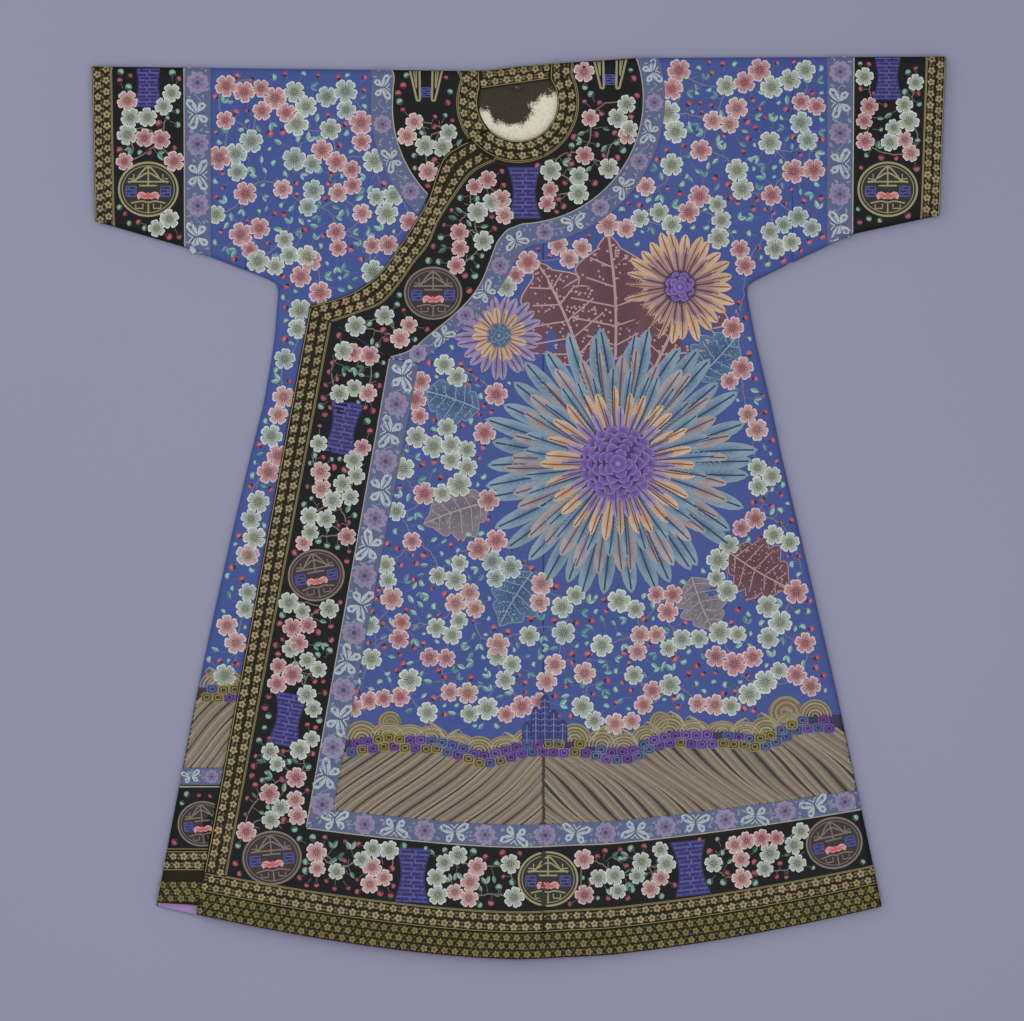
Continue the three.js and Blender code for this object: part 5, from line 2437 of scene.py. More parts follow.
class Frets:
    """Plain fret medallions and ribbed lattice panels, with no lettering in them."""

    taupe: Sequence[Colour] = (srgb(122, 110, 98), srgb(52, 38, 46), srgb(74, 84, 150), srgb(186, 92, 98),
                               srgb(206, 158, 156))
    gold: Sequence[Colour] = (srgb(150, 142, 108), srgb(40, 36, 32), srgb(74, 84, 150), srgb(186, 92, 98),
                              srgb(206, 158, 156))
    indigo: Sequence[Colour] = (srgb(40, 36, 84), srgb(70, 68, 136), srgb(84, 84, 152))

    @staticmethod
    def medallion() -> Motif:
        """A round fret with blue lattice squares and a winged figure, of half-width 46.

        Returns:
            The drawing.
        """
        rx, ry = 46.0, 42.0
        parts = [disc(1.0, 28, (1, 1), (0.1, 0.06))]
        parts[0].points = parts[0].points * (rx, ry)
        parts.append(stroke(ellipse(rx - 1.5, ry - 1.5, 40), 3.0, 0, 0.2, closed=True))
        parts.append(stroke(ellipse(rx - 6.5, ry - 6.5, 36), 1.3, 0, 0.15, closed=True))
        for drop, reach in ((0, 20), (9, 30)):
            roof = [(-reach, 12 - drop * 0.2), (-reach * 0.5, 26 - drop), (0, 34 - drop),
                    (reach * 0.5, 26 - drop), (reach, 12 - drop * 0.2)]
            parts.append(stroke(smooth_line(roof, 14), 2.4, 0, 0.2))
        for y, reach in ((11.5, 31), (5.5, 14)):
            parts.append(stroke([(-reach, y), (0, y), (reach, y)], 2.4, 0, 0.2))
        parts.append(stroke([(0, 35), (0, 20), (0, 5)], 2.2, 0, 0.22))
        for side in (-1, 1):
            parts.append(Frets.lattice(15, 3).placed(side * 26, -3, tint=2))
            parts.append(stroke([(side * 8, -22), (side * 8, -29), (side * 19, -29), (side * 19, -23)], 2.0,
                                0, 0.2))
            parts.append(stroke([(side * 30, 16), (side * 22, 16), (side * 22, 23)], 2.0, 0, 0.2))
        parts.append(stroke([(0, -22), (0, -37)], 2.2, 0, 0.2))
        parts.append(stroke(smooth_line([(-26, -21), (-10, -18), (0, -20), (10, -18), (26, -21)], 14), 2.2,
                            0, 0.2))
        parts.append(Frets.winged().placed(0, -10))
        return Motif.joined(parts)

    @staticmethod
    def gate() -> Motif:
        """A blue lattice square between two gilt brackets, which runs up to the shoulder fold.

        Returns:
            The drawing.
        """
        bracket = [
            stroke(respaced([(-27, 36), (-15, -14), (-10, -14), (-11, 36)], 44), 3.4, 0, 0.25),
            stroke(respaced([(-21, 36), (-16, 6), (-16.5, 36)], 26), 2.2, 0, 0.2),
        ]
        half = Motif.joined(bracket)
        return Motif.joined([half, half.placed(mirror=True), Frets.lattice(15, 4).placed(0, 0, tint=2)])

    @staticmethod
    def lattice(size: float, cells: int) -> Motif:
        """A small square of woven lattice.

        Args:
            size: half its width.
            cells: strands each way.

        Returns:
            The drawing.
        """
        half = size / 2
        parts = []
        for k in range(cells + 1):
            at = -half + size * k / cells
            parts.append(stroke([(-half, at), (0, at), (half, at)], 1.9, 0, 0.2))
            if k in (0, cells):
                parts.append(stroke([(at, -half), (at, 0), (at, half)], 1.9, 0, 0.24))
        for k in range(cells):
            at = half * (0.5 if k % 2 else -0.45)
            low = -half + size * k / cells
            parts.append(stroke([(at, low), (at, low + size / cells)], 1.9, 0, 0.22))
        return Motif.joined(parts)

    @staticmethod
    def winged() -> Motif:
        """A small winged figure, as wide as 34.

        Returns:
            The drawing.
        """
        wing = np.array([[0, -3.5], [5, -5], [10, -3], [15, -5.5], [17.5, 0], [15, 5], [9, 6.5], [3, 3.5],
                         [0, 4]])
        side = fan(wing, (7, 0.5), (3, 4), (0.75, 0.35), True)
        ribs = [stroke([(2, 0), (x, y)], 0.9, 3, 0.7) for x, y in ((15, 3.5), (12, -3), (7, -3.5))]
        half = Motif.joined([side, *ribs])
        body = fan(ellipse(3.2, 5.6, 10), (0, 0), (3, 3), (1.1, 0.5), True)
        return Motif.joined([half, half.placed(mirror=True), body])

    @staticmethod
    def ribbed() -> Motif:
        """A waisted panel of broken ribs, 56 wide and 84 tall.

        Returns:
            The drawing.
        """
        tall, wide = 42.0, 28.0

        def half(y: Array) -> Array:
            """Half the panel's width at each height."""
            return wide * (0.66 + 0.34 * np.abs(y / tall) ** 1.7)

        y = np.linspace(-tall, tall, 15)
        parts = [strip(pairs(half(y), y), pairs(-half(y), y), (0, 0), (0.08, 0.08))]
        rows = 13
        for k in range(rows):
            level = -tall + (k + 0.5) * 2 * tall / rows
            reach = float(half(np.array(level))) - 1.2
            cuts = [-reach, reach * (-0.55, 0.34, -0.12, 0.66, 0.05)[k % 5], reach]
            for left, right in zip(cuts[:-1], cuts[1:]):
                parts.append(stroke([(left + 0.9, level), ((left + right) / 2, level),
                                     (right - 0.9, level)], 3.0,
                                    1 + k % 2, 0.2, ridge=0.45))
            if k:
                at = reach * (0.78 if k % 2 else -0.8)
                parts.append(stroke([(at, level - 2 * tall / rows), (at, level)], 2.6, 1, 0.25))
                parts.append(stroke([(-at * 0.15, level - 2 * tall / rows), (-at * 0.15, level)], 2.6, 2,
                                    0.25))
        return Motif.joined(parts)


@dataclass
class BorderOrnament:
    """The ornament and blossoms of the black bands."""

    bands: dict[str, Band]
    spots: dict[Fret, dict[str, Sequence[FretSpot]]] = field(default_factory=lambda: {
        Fret.MEDALLION: {
            "yoke_border_left": (FretSpot(-130, 326, 0.0, 0.96),),
            "side_border": (FretSpot(-307, -101, 0.17, 0.94), FretSpot(-374, -529, 0.1, 0.98, whole=True)),
            "back_hem_border": tuple(on_back_hem(x, 0.98, True) for x in (-420, -140, 140, 420)),
            "back_cuff_right_border": (FretSpot(-562, 484, 0.0, 1.0, True),),
            "back_cuff_left_border": (FretSpot(559, 484, 0.0, 1.0, True),),
            "hem_border": (FretSpot(44, -561, 0.0, 1.0, True), FretSpot(478, -507, 0.23, 0.94)),
            "cuff_right_border": (FretSpot(-562, 484, 0.0, 1.0, True),),
            "cuff_left_border": (FretSpot(559, 484, 0.0, 1.0, True),),
            "inner_hem_border": (FretSpot(-480, -478, 0.1, 0.82),),
        },
        Fret.RIBBED: {
            "yoke_border_left": (FretSpot(8, 478, 0.0, 0.94),),
            "side_border": (FretSpot(-266, 122, -0.18, 0.96), FretSpot(-350, -320, -0.18, 0.96)),
            "hem_border": (FretSpot(-161, -556, -0.05, 1.0), FretSpot(260, -545, 0.11, 1.0)),
            "cuff_right_border": (FretSpot(-562, 644, 0.0, 0.85),),
            "cuff_left_border": (FretSpot(559, 655, 0.0, 0.85),),
            "back_hem_border": tuple(on_back_hem(x) for x in (-280, 0, 280)),
            "back_cuff_right_border": (FretSpot(-562, 620, 0.0, 0.85),),
            "back_cuff_left_border": (FretSpot(559, 630, 0.0, 0.85),),
            "back_yoke_border": (FretSpot(0, 576, 0.0, 0.9),),
        },
        Fret.GATE: {
            "yoke_border_left": (FretSpot(138, 650, 0, 0.94, True),),
            "yoke_border_right": (FretSpot(-141, 631, 0, 0.9, True),),
        },
    })
    first_seed: int = 40
    blossom_seed: int = 70

    def palette(self, fret: Fret, gilt: bool) -> Sequence[Colour]:
        """The dyes of an ornament."""
        return Frets.indigo if fret is Fret.RIBBED else Frets.gold if gilt else Frets.taupe

    def build(self, robe: "Robe") -> None:
        """Sews each black band.

        Args:
            robe: what the bands are on.
        """
        drawings = {Fret.MEDALLION: Frets.medallion(), Fret.RIBBED: Frets.ribbed(), Fret.GATE: Frets.gate()}
        folds = [np.array(robe.cut.shoulder, float), *(robe.cut.side_line(side) for side in Side)]
        for number, band in enumerate(b for b in self.bands.values() if b.slot is Slot.BLACK):
            outline = np.concatenate([band.near, band.far[::-1]])
            work = Needlework(band.name + "_frets", band.top, FLOSS, self.first_seed + number, Slot.BLACK,
                              band.layer.downward)
            holes = []
            for fret, groups in self.spots.items():
                for spot in groups.get(band.name, ()):
                    put = drawings[fret].placed(spot.x, spot.y, spot.turn, spot.scale, 0.1)
                    if not spot.whole:
                        put = trimmed(put, band, folds)
                    if len(put.faces):
                        work.sew(put, self.palette(fret, spot.gilt), vary=0.02)
                for name, group in groups.items():
                    if name.startswith("back_") == band.name.startswith("back_"):
                        holes += [spot.outline(*fret.value) for spot in group]
            if work.parts:
                work.build()
            ground = Ground(outline, [band.near, band.far, *folds], holes)
            BlossomField(band.name + "_blossoms", ground, band.top, ON_BLACK, self.blossom_seed + number,
                         Slot.BLACK, band.layer.downward, 37, (13.0, 16.6), 11.5, 15.0, 12.6, 90).build()


def on_back_hem(x: float, scale: float = 1.0, gilt: bool = False) -> FretSpot:
    """A spot in the middle of the border along the hem of the back.

    Args:
        x: its place along the hem.
        scale: size of the ornament.
        gilt: whether it is sewn in gold.

    Returns:
        The spot.
    """
    cut = Cut()
    rise = cut.hem_rise * abs(x / cut.hem_half) ** cut.hem_power
    return FretSpot(x, -cut.top + rise + 121 - 12 * (x / cut.hem_half) ** 2, 0.0, scale, gilt)


def trimmed(motif: Motif, band: Band, folds: Sequence[Array]) -> Motif:
    """Only the stitches that lie wholly on a band and short of the folds.

    Args:
        motif: the placed drawing.
        band: what it lies on.
        folds: lines that it stays short of.

    Returns:
        What is left of it.
    """
    x, y = motif.points.T
    outline = np.concatenate([band.near, band.far[::-1]])
    lies = within(outline, x, y)
    for fold in folds:
        lies &= reach_to(fold, x, y) > 0.8
    faces = motif.faces[lies[motif.faces].all(axis=1)]
    used, again = np.unique(faces, return_inverse=True)
    return Motif(motif.points[used], motif.lift[used], motif.tint[used], motif.thread[used],
                 again.reshape(-1, 3))


# ---- Waves at the foot ----------------------------------------------------------------------------
@dataclass
class WaveFoot:
    """Couched waves above the hem, with scrolls and crests along their top."""

    robe: "Robe"
    stripe: float = 26.5
    cords: int = 5
    cord: float = 4.4
    depth: float = 308.0
    tan: Sequence[Colour] = (srgb(146, 134, 119), srgb(131, 120, 106), srgb(119, 108, 95))
    gap: Colour = srgb(56, 48, 44)
    scroll_gap: Colour = srgb(48, 42, 72)
    foam: Sequence[Colour] = (srgb(142, 130, 104), srgb(106, 95, 74), srgb(158, 148, 122))
    scrolls: Sequence[Sequence[Colour]] = (
        (srgb(108, 80, 148), srgb(52, 34, 86)), (srgb(88, 100, 146), srgb(42, 46, 78)),
        (srgb(142, 132, 66), srgb(58, 50, 30)), (srgb(122, 96, 160), srgb(56, 38, 92)),
        (srgb(98, 112, 150), srgb(40, 46, 72)), (srgb(112, 74, 140), srgb(50, 30, 78)),
        (srgb(136, 126, 70), srgb(54, 48, 30)),
    )
    spirals: Sequence[tuple[float, float]] = ((404, 25), (-196, 17), (214, 16))
    rock: Sequence[tuple[int, int]] = ((-2, 34), (2, 36), (-1, 56), (1, 52), (0, 74))
    blue: Sequence[Colour] = (srgb(40, 44, 98), srgb(66, 74, 138), srgb(112, 124, 172))
    seam_reach: float = 7.0
    hills: Sequence[tuple[float, int]] = ((25, 0), (20, 2), (15, 0), (10, 2), (5, 0))
    strip_rows: tuple[float, float] = (-393.0, -286.0)

    def low(self, x: Array) -> Array:
        """The ribbon's upper edge."""
        return self.robe.cut.hem_band(x, self.robe.cut.hem_bands[3] - 1)

    def high(self, x: Array) -> Array:
        """Top of the couched waves."""
        swing = 8 * np.cos((x + 158) * 2 * math.pi / 205) + 3 * np.cos(x / 17)
        return self.robe.cut.hem_band(x, self.depth) + swing

    def left(self, y: Array) -> Array:
        """The ribbon down the side."""
        corner, lean, _ = self.robe.side_lines["ribbon"]
        return corner[0] + lean * (y - corner[1]) - 0.5

    def right(self, y: Array) -> Array:
        """The side seam."""
        return self.robe.cut.body_edge(Side.LEFT, y) - 1.0

    def over_seam(self, x: Array, y: Array) -> Array:
        """The outer front's upper face, bridged over its centre seam.

        Args:
            x, y: the points.

        Returns:
            Heights in millimetres.
        """
        seam = self.robe.cut.centre_seam
        reach = self.seam_reach
        beside = np.where(np.abs(x - seam) < reach, np.where(x < seam, seam - reach, seam + reach), x)
        return self.robe.outer.top(beside, y)

    def spots(self) -> list[tuple[float, float, float]]:
        """Place and size of each large spiral."""
        return [(x, float(self.high(np.array(float(x)))) + 34, size) for x, size in self.spirals]

    def couched(self, work: Needlework, span: tuple[float, float], slope: float,
                holds: Callable[[Array, Array], Array], rise: tuple[float, float]) -> None:
        """Lays slanting cords over a stretch.

        Args:
            work: the needlework that they go into.
            span: first and last x of the cords' feet.
            slope: how far they go sideways for each millimetre up.
            holds: tells which points lie in the stretch.
            rise: lowest and highest y.
        """
        y = np.linspace(*rise, 130)
        for k in range(int((span[1] - span[0]) / self.stripe) + 1):
            for j in range(self.cords):
                foot = span[0] + k * self.stripe + j * self.cord
                x = foot + slope * (y - rise[0]) + slope * 7 * np.sin((y - rise[0]) / 26 + k * 0.35)
                lies = holds(x, y)
                if lies.sum() < 3:
                    continue
                first = int(np.argmax(lies))
                last = first + int(np.argmin(np.r_[lies[first:], False]))
                if last - first < 3:
                    continue
                keep = np.unique(np.r_[first:min(first + 6, last), first:last:5, max(last - 6, first):last])
                path = pairs(x[keep], y[keep])
                tone = 0.35 * abs(j - (self.cords - 1) / 2) / self.cords
                work.sew(stroke(path, self.cord * 0.8, 0, 0.4, ridge=0.75 - tone), [self.tan[(j + k) % 3]],
                         vary=0.09)

    def build(self) -> None:
        """Sews the waves of the outer front and of the strip beside it."""
        cut = self.robe.cut
        ground = self.robe.outer.top
        self.patch("wave_ground", self.over_seam, self.low, lambda x: self.high(x) + 2, self.gap)
        self.patch("scroll_ground", self.over_seam, lambda x: self.high(x) - 4, lambda x: self.high(x) + 20,
                   self.scroll_gap)
        work = Needlework("waves", ground, CORD, 12)
        seam = cut.centre_seam

        def on_right(px: Array, py: Array) -> Array:
            """True on the width right of the centre seam."""
            return (px < seam - 1) & (px > self.left(py)) & (py > self.low(px)) & (py < self.high(px))

        def on_left(px: Array, py: Array) -> Array:
            """True on the width left of the centre seam."""
            return (px > seam + 1) & (px < self.right(py)) & (py > self.low(px)) & (py < self.high(px))

        self.couched(work, (-560, 36), 1.2, on_right, (-482, -300))
        self.couched(work, (40, 760), -1.2, on_left, (-482, -270))
        work.build()
        span = (float(self.left(np.array(-330.0))) + 4, float(self.right(np.array(-270.0))) - 36)
        self.build_crests(ground, "wave_crests", span, self.high, 13)
        self.build_rock(ground)
        self.build_strip()

    def patch(self, name: str, ground: Surface, low: Callable[[Array], Array],
              high: Callable[[Array], Array], dye: Colour) -> None:
        """A plain ground of laid silk between two lines and the sides of the outer front.

        Args:
            name: what the piece is called.
            ground: the cloth below.
            low: its lower line.
            high: its upper line.
            dye: its colour.
        """
        along = shares(1000, 9, 9)
        rows = []
        for share in np.linspace(0, 1, 9):
            x = -300 + 800 * along
            for _ in range(5):
                y = low(x) + (high(x) - low(x)) * share
                x = self.left(y) + (self.right(y) - self.left(y)) * along
            rows.append(pairs(x, y))
        work = Needlework(name, ground, FLOSS, 11)
        for first, second in zip(rows[:-1], rows[1:]):
            work.sew(strip(first, second, (0, 0), (0.3, 0.3)), [dye], vary=0.03)
        turned_up(work.build())

    def build_rock(self, ground: Surface) -> None:
        """A rock of upright columns on the centre seam, and a large spiral beside it.

        Args:
            ground: height of the cloth below.
        """
        work = Needlework("wave_rock", ground, FLOSS, 17)
        for k, tall in self.rock:
            x = self.robe.cut.centre_seam + 2 + k * 13.5
            foot = float(self.high(np.array(x))) + 12
            column = np.array([(x, foot), (x, foot + tall * 0.6), (x, foot + tall - 5), (x, foot + tall)])
            work.sew(stroke(column, np.array([15, 15, 12, 4.0]), 0, 0.9 + 0.1 * (2 - abs(k)), ridge=0.5),
                     self.blue)
            for share, tint in ((-0.3, 1), (0.0, 2), (0.3, 1)):
                line = column[:3] + (share * 13, 0)
                work.sew(stroke(line, 1.5, tint, 1.45 + 0.1 * (2 - abs(k)), ridge=0.3), self.blue)
            for step in range(2, int(tall / 9)):
                rung = [(x - 6, foot + step * 9), (x, foot + step * 9 + 2.4), (x + 6, foot + step * 9)]
                work.sew(stroke(rung, 1.3, 2, 1.5 + 0.1 * (2 - abs(k)), ridge=0.3), self.blue)
        spiral = Drawings.curl(2.4, 0.17)
        for x, y, size in self.spots():
            work.sew(disc(size * 1.08, 24, (1, 1), (0.6, 0.4)), self.foam, x, y)
            work.sew(spiral, self.foam, x, y, 0.6, size, 0.55)
        work.build()

    def build_crests(self, ground: Surface, name: str, span: tuple[float, float],
                     level: Callable[[Array], Array], seed: int) -> None:
        """Scallops, curls and scrolls along the top of the waves.

        Args:
            ground: the cloth below.
            name: what the piece is called.
            span: first and last x of the stretch that they cover.
            level: top of the waves at each x.
            seed: settles what varies.
        """
        work = Needlework(name, ground, CORD, seed)
        rng = work.rng
        start, end = span
        curl = Drawings.curl(1.3, 0.3)
        spots = np.linspace(start + 16, end + 6, max(2, round((end - start) / 36) + 1))
        for k, at in enumerate(spots):
            at = float(at) + (rng.uniform(-5, 5) if 0 < k < len(spots) - 1 else 0)
            foot = float(level(np.array(at))) + 15
            tall = rng.uniform(0.55, 1.2)
            wide = rng.uniform(0.94, 1.1)
            for radius, tint in self.hills:
                ring = arc((at, foot), radius * wide, 0, 180, 12, radius * tall)
                if radius == 25:
                    work.sew(fan(ring, (at, foot), (1, 1), (0.3, 0.2)), self.foam)
                work.sew(stroke(ring, 2.7, tint, 0.3 + 0.02 * (25 - radius), ridge=0.5), self.foam)
            if rng.random() < 0.72:
                side = int(rng.choice([-1, 1]))
                tip = at + rng.uniform(-8, 8)
                crown = foot + 25 * tall
                arm = smooth_line([(tip - side * 17, crown - 16), (tip - side * 7, crown - 1),
                                   (tip + side * 7, crown + 7)], 12)
                work.sew(stroke(arm, np.linspace(4.5, 2.4, 13), 2, 0.45), self.foam)
                work.sew(curl, self.foam, tip + side * 7, crown + 0.5, math.pi / 2 * side, 6.5, 0.35,
                         mirror=side > 0)
        work.build()
        chain_work = Needlework(name + "_scrolls", ground, FLOSS, seed + 1)
        turn = np.arange(16) * math.pi / 8
        square = pairs(np.sign(np.cos(turn)) * np.abs(np.cos(turn)) ** 0.6,
                           0.84 * np.sign(np.sin(turn)) * np.abs(np.sin(turn)) ** 0.6)
        ring = stroke(square, 0.24, 0, 0.75, closed=True, ridge=0.4)
        within_ring = stroke(square * 0.52, 0.22, 0, 0.75, closed=True, ridge=0.4)
        for row, lift in enumerate((-1, 11)):
            spots = np.linspace(start + 1, end + 27, max(2, round((end + 26 - start) / 16.2) + 1))
            for at in (spots[:-1] + spots[1:]) / 2 if row else spots:
                if row and rng.random() < 0.12:
                    continue
                palette = self.scrolls[int(rng.integers(len(self.scrolls)))]
                y = float(level(np.array(at))) + lift + rng.uniform(-1.5, 1.5)
                lean = rng.normal(0, 0.14)
                above = 0.5 + 0.12 * row
                chain_work.sew(fan(square * 8.9, (0, 0), (1, 1), (0.72, 0.6), True), palette, at, y, lean,
                               1, above)
                chain_work.sew(ring, palette, at, y, lean, 7.9, above)
                chain_work.sew(within_ring, palette, at, y, lean, 7.9, above)
        chain_work.build()

    def build_strip(self) -> None:
        """The waves that show on the inner front."""
        cut = self.robe.cut
        ground = self.robe.inner.top
        low, high = self.strip_rows
        y = np.linspace(low, high + 14, 20)
        left, right = cut.body_edge(Side.RIGHT, y) + 0.4, cut.overlap_x(y) + 6
        base = Needlework("strip_wave_ground", ground, FLOSS, 14)
        for step in range(12):
            one, two = (left + (right - left) * (t / 12) ** 1.6 for t in (step, step + 1))
            base.sew(strip(pairs(two, y), pairs(one, y), (0, 0), (0.3, 0.3)), [self.gap], vary=0.02)
        turned_up(base.build())
        work = Needlework("strip_waves", ground, CORD, 15)

        def holds(px: Array, py: Array) -> Array:
            """True on the inner front short of the free edge."""
            return (px > cut.body_edge(Side.RIGHT, py) + 1.5) & (px < cut.overlap_x(py) + 4) & (py < high)

        self.couched(work, (-660, -430), 1.0, holds, (low, high))
        work.build()
        span = (float(left[-1]) + 12, float(right[-1]) - 30)
        self.build_crests(ground, "strip_crests", span, lambda at: np.full(np.shape(at), high), 16)


def turned_up(obj: bpy.types.Object) -> bpy.types.Object:
    """Turns every face of a flat patch upwards.

    Args:
        obj: the patch.

    Returns:
        The same patch.
    """
    mesh = obj.data
    if sum(polygon.normal.z for polygon in mesh.polygons) < 0:
        mesh.flip_normals()
    return obj


# ---- The large flowers ----------------------------------------------------------------------------
@dataclass(frozen=True)
class Flower:
    """A large flower: wheels of petals, the lowest first, round a heart of scales.

    A wheel is its count, root, tip, width, dyes, lift and turn. A heart is its radius, scale size, dyes and
    lift. The room is what the flower keeps free, and the corners are those of its outline.
    """

    at: tuple[float, float]
    room: float
    corners: int
    wheels: Sequence[tuple[int, float, float, float, Sequence[Colour], float, float]]
    heart: tuple[float, float, Sequence[Colour], float]


@dataclass
class Bouquet:
    """Large many-petalled flowers and lobed leaves on the body of the outer front.

    A leaf is the x and y of its root, its direction, its length and its dyes.
    """

    surface: Surface
    teal: Sequence[Colour] = (srgb(50, 70, 112), srgb(74, 102, 134), srgb(122, 144, 160), srgb(38, 52, 86))
    peach: Sequence[Colour] = (srgb(122, 84, 74), srgb(168, 130, 104), srgb(192, 164, 136),
                               srgb(104, 68, 62))
    mauve: Sequence[Colour] = (srgb(80, 66, 112), srgb(110, 94, 140), srgb(150, 136, 168), srgb(62, 50, 92))
    purple: Sequence[Colour] = (srgb(82, 60, 124), srgb(106, 82, 150), srgb(134, 114, 172),
                                srgb(56, 42, 92))
    maroon: Sequence[Colour] = (srgb(86, 54, 66), srgb(102, 66, 78), srgb(168, 138, 138), srgb(68, 42, 54))
    taupe: Sequence[Colour] = (srgb(100, 92, 108), srgb(124, 114, 122), srgb(156, 146, 148),
                               srgb(78, 72, 92))
    leaves: Sequence[tuple[float, float, float, float, Sequence[Colour]]] = (
        (98, 216, 0.42, 172, maroon), (146, 226, 0.06, 190, maroon), (206, 214, -0.36, 190, maroon),
        (268, 196, -0.75, 96, teal), (-46, 10, 1.9, 104, taupe), (318, -66, -2.1, 112, maroon),
        (20, -96, 2.6, 96, teal), (262, -104, -2.75, 92, taupe), (-60, 150, 1.25, 92, teal),
    )
    flowers: Sequence[Flower] = (
        Flower((150.0, 68.0), 198, 40, (
            (38, 74, 206, 25, teal, 0.3, 0.0), (34, 66, 172, 22, taupe, 0.7, 0.08),
            (32, 58, 146, 20, teal, 1.0, 0.1), (28, 46, 116, 17, peach, 1.3, 0.05),
            (24, 40, 86, 14, mauve, 1.6, 0.2),
        ), (58, 11, purple, 1.9)),
        Flower((244.0, 336.0), 86, 30, (
            (26, 24, 84, 16, peach, 0.3, 0.0), (20, 18, 62, 13, maroon, 0.8, 0.1),
        ), (25, 8, purple, 1.2)),
        Flower((-30.0, 262.0), 62, 30, (
            (22, 16, 66, 14, mauve, 0.3, 0.0), (16, 12, 42, 11, peach, 0.8, 0.1),
        ), (18, 7, teal, 1.1)),
    )

    @staticmethod
    def petal(wide: float, bend: float = 0.0) -> Motif:
        """A long petal of length 1 along +Y, which bends aside: dyes are root, middle, tip and rib.

        Args:
            wide: half its width.
            bend: how far its tip bends aside.

        Returns:
            The drawing.
        """
        y = np.array([0, 0.12, 0.3, 0.5, 0.7, 0.86, 0.95, 1.0])
        half = wide / 2 * np.array([0.35, 0.55, 0.8, 0.96, 1.0, 0.8, 0.45, 0.05])
        tint = np.array([0, 0, 1, 1, 1, 2, 2, 2])
        rib = pairs(np.zeros(8), y)
        right = strip(pairs(half, y), rib, (0, 0), (0.1, 0.8))
        left = strip(rib, pairs(-half, y), (0, 0), (0.8, 0.1))
        right.tint = np.concatenate([np.minimum(tint + 1, 2), tint])
        left.tint = np.concatenate([tint, np.minimum(tint + 1, 2)])
        barbs = []
        for k in range(9):
            root = 0.16 + 0.08 * k
            reach = float(np.interp(root + 0.06, y, half)) * 0.86
            for side in (-1, 1):
                path = [(0, root), (side * reach * 0.6, root + 0.035), (side * reach, root + 0.085)]
                barbs.append(stroke(path, wide * 0.05, 2, 0.5, ridge=0.1))
        whole = Motif.joined([right, left, *barbs, stroke(rib[:-1], wide * 0.1, 3, 0.85, ridge=0.12)])
        whole.points = whole.points + pairs(bend * whole.points[:, 1] ** 2, np.zeros(len(whole.points)))
        return whole

    def wheel(self, work: Needlework, at: tuple[float, float], count: int, near: float, far: float,
              wide: float, dyes: Sequence[Colour], lift: float, turn: float) -> None:
        """A ring of long petals.

        Args:
            work: the needlework that they go into.
            at: middle of the flower.
            count: number of petals.
            near: distance of their roots from the middle.
            far: distance of their tips.
            wide: width of each.
            dyes: the palette.
            lift: height above the cloth.
            turn: angle of the first.
        """
        rng = work.rng
        for k in range(count):
            angle = turn + 2 * math.pi * k / count + rng.normal(0, 0.02)
            length = (far - near) * rng.uniform(0.9, 1.06)
            petal = self.petal(wide / length, rng.normal(0, 0.05))
            x, y = at[0] + near * math.cos(angle), at[1] + near * math.sin(angle)
            work.sew(petal, dyes, x, y, angle - math.pi / 2, length, lift + 0.12 * (k % 3), vary=0.1)

    @staticmethod
    def scale() -> Motif:
        """One overlapping scale of radius 1.

        Returns:
            The drawing.
        """
        rim = arc((0, 0), 1, 0, 180, 8)
        inner = arc((0, 0), 0.66, 0, 180, 8)
        return Motif.joined([strip(rim, inner, (2, 1), (0.25, 0.6)),
                             fan(inner, (0, -0.1), (0, 1), (0.65, 0.6))])

    def heart(self, work: Needlework, at: tuple[float, float], radius: float, size: float,
              dyes: Sequence[Colour], lift: float) -> None:
        """A flower's heart of overlapping scales, sewn from its rim inwards.

        Args:
            work: the needlework.
            at: its middle.
            radius: of the whole heart.
            size: of one scale.
            dyes: for the scales.
            lift: height above the cloth.
        """
        work.sew(disc(radius, 30, (3, 3), (0.3, 0.15)), dyes, *at, lift=lift)
        rings = int(radius / (size * 0.8))
        for ring in range(rings, 0, -1):
            far = (ring - 0.45) * size * 0.8
            count = max(5, int(2 * math.pi * far / (size * 1.5)))
            for k in range(count):
                angle = 2 * math.pi * (k + 0.5 * (ring % 2)) / count
                work.sew(self.scale(), dyes, at[0] + far * math.cos(angle), at[1] + far * math.sin(angle),
                         angle - math.pi / 2, size * 0.86, lift + 0.25 + 0.09 * (rings - ring), vary=0.1)
        work.sew(disc(size * 0.9, 10, (2, 1), (0.9, 0.5)), dyes, *at, lift=lift + 0.1 * rings)

    @staticmethod
    def lobed_leaf(rng: np.random.Generator) -> Motif:
        """A deeply lobed leaf of length 1 along +Y, dotted with knots.

        Args:
            rng: random numbers for the knots.

        Returns:
            The drawing.
        """
        t = np.linspace(0, 1, 46)
        wide = 0.38 * np.sin(math.pi * t**0.85) * (1 + 0.36 * np.abs(np.sin(t * math.pi * 4.5)) - 0.2)
        right = pairs(wide, t)
        rib = pairs(0.03 * np.sin(t * 3), t)
        parts = [strip(right, rib, (1, 0), (0.1, 0.55)), strip(rib, right * (-1, 1), (0, 1), (0.55, 0.1)),
                 stroke(rib[::3], 0.022, 2, 0.6, ridge=0.15)]
        for k in range(5, 40, 7):
            for side in (-1, 1):
                tip = (side * wide[k + 4] * 0.8, t[k + 4])
                parts.append(stroke([rib[k], tip], 0.013, 2, 0.5, ridge=0.1))
        for _ in range(110):
            k = int(rng.integers(4, 42))
            spot = (rng.uniform(-0.86, 0.86) * wide[k], t[k])
            parts.append(disc(0.0115, 5, (2, 2), (0.85, 0.6), spot))
        parts.append(stroke(chain(right, (right * (-1, 1))[::-1]), 0.012, 2, 0.15, ridge=0.1))
        return Motif.joined(parts)

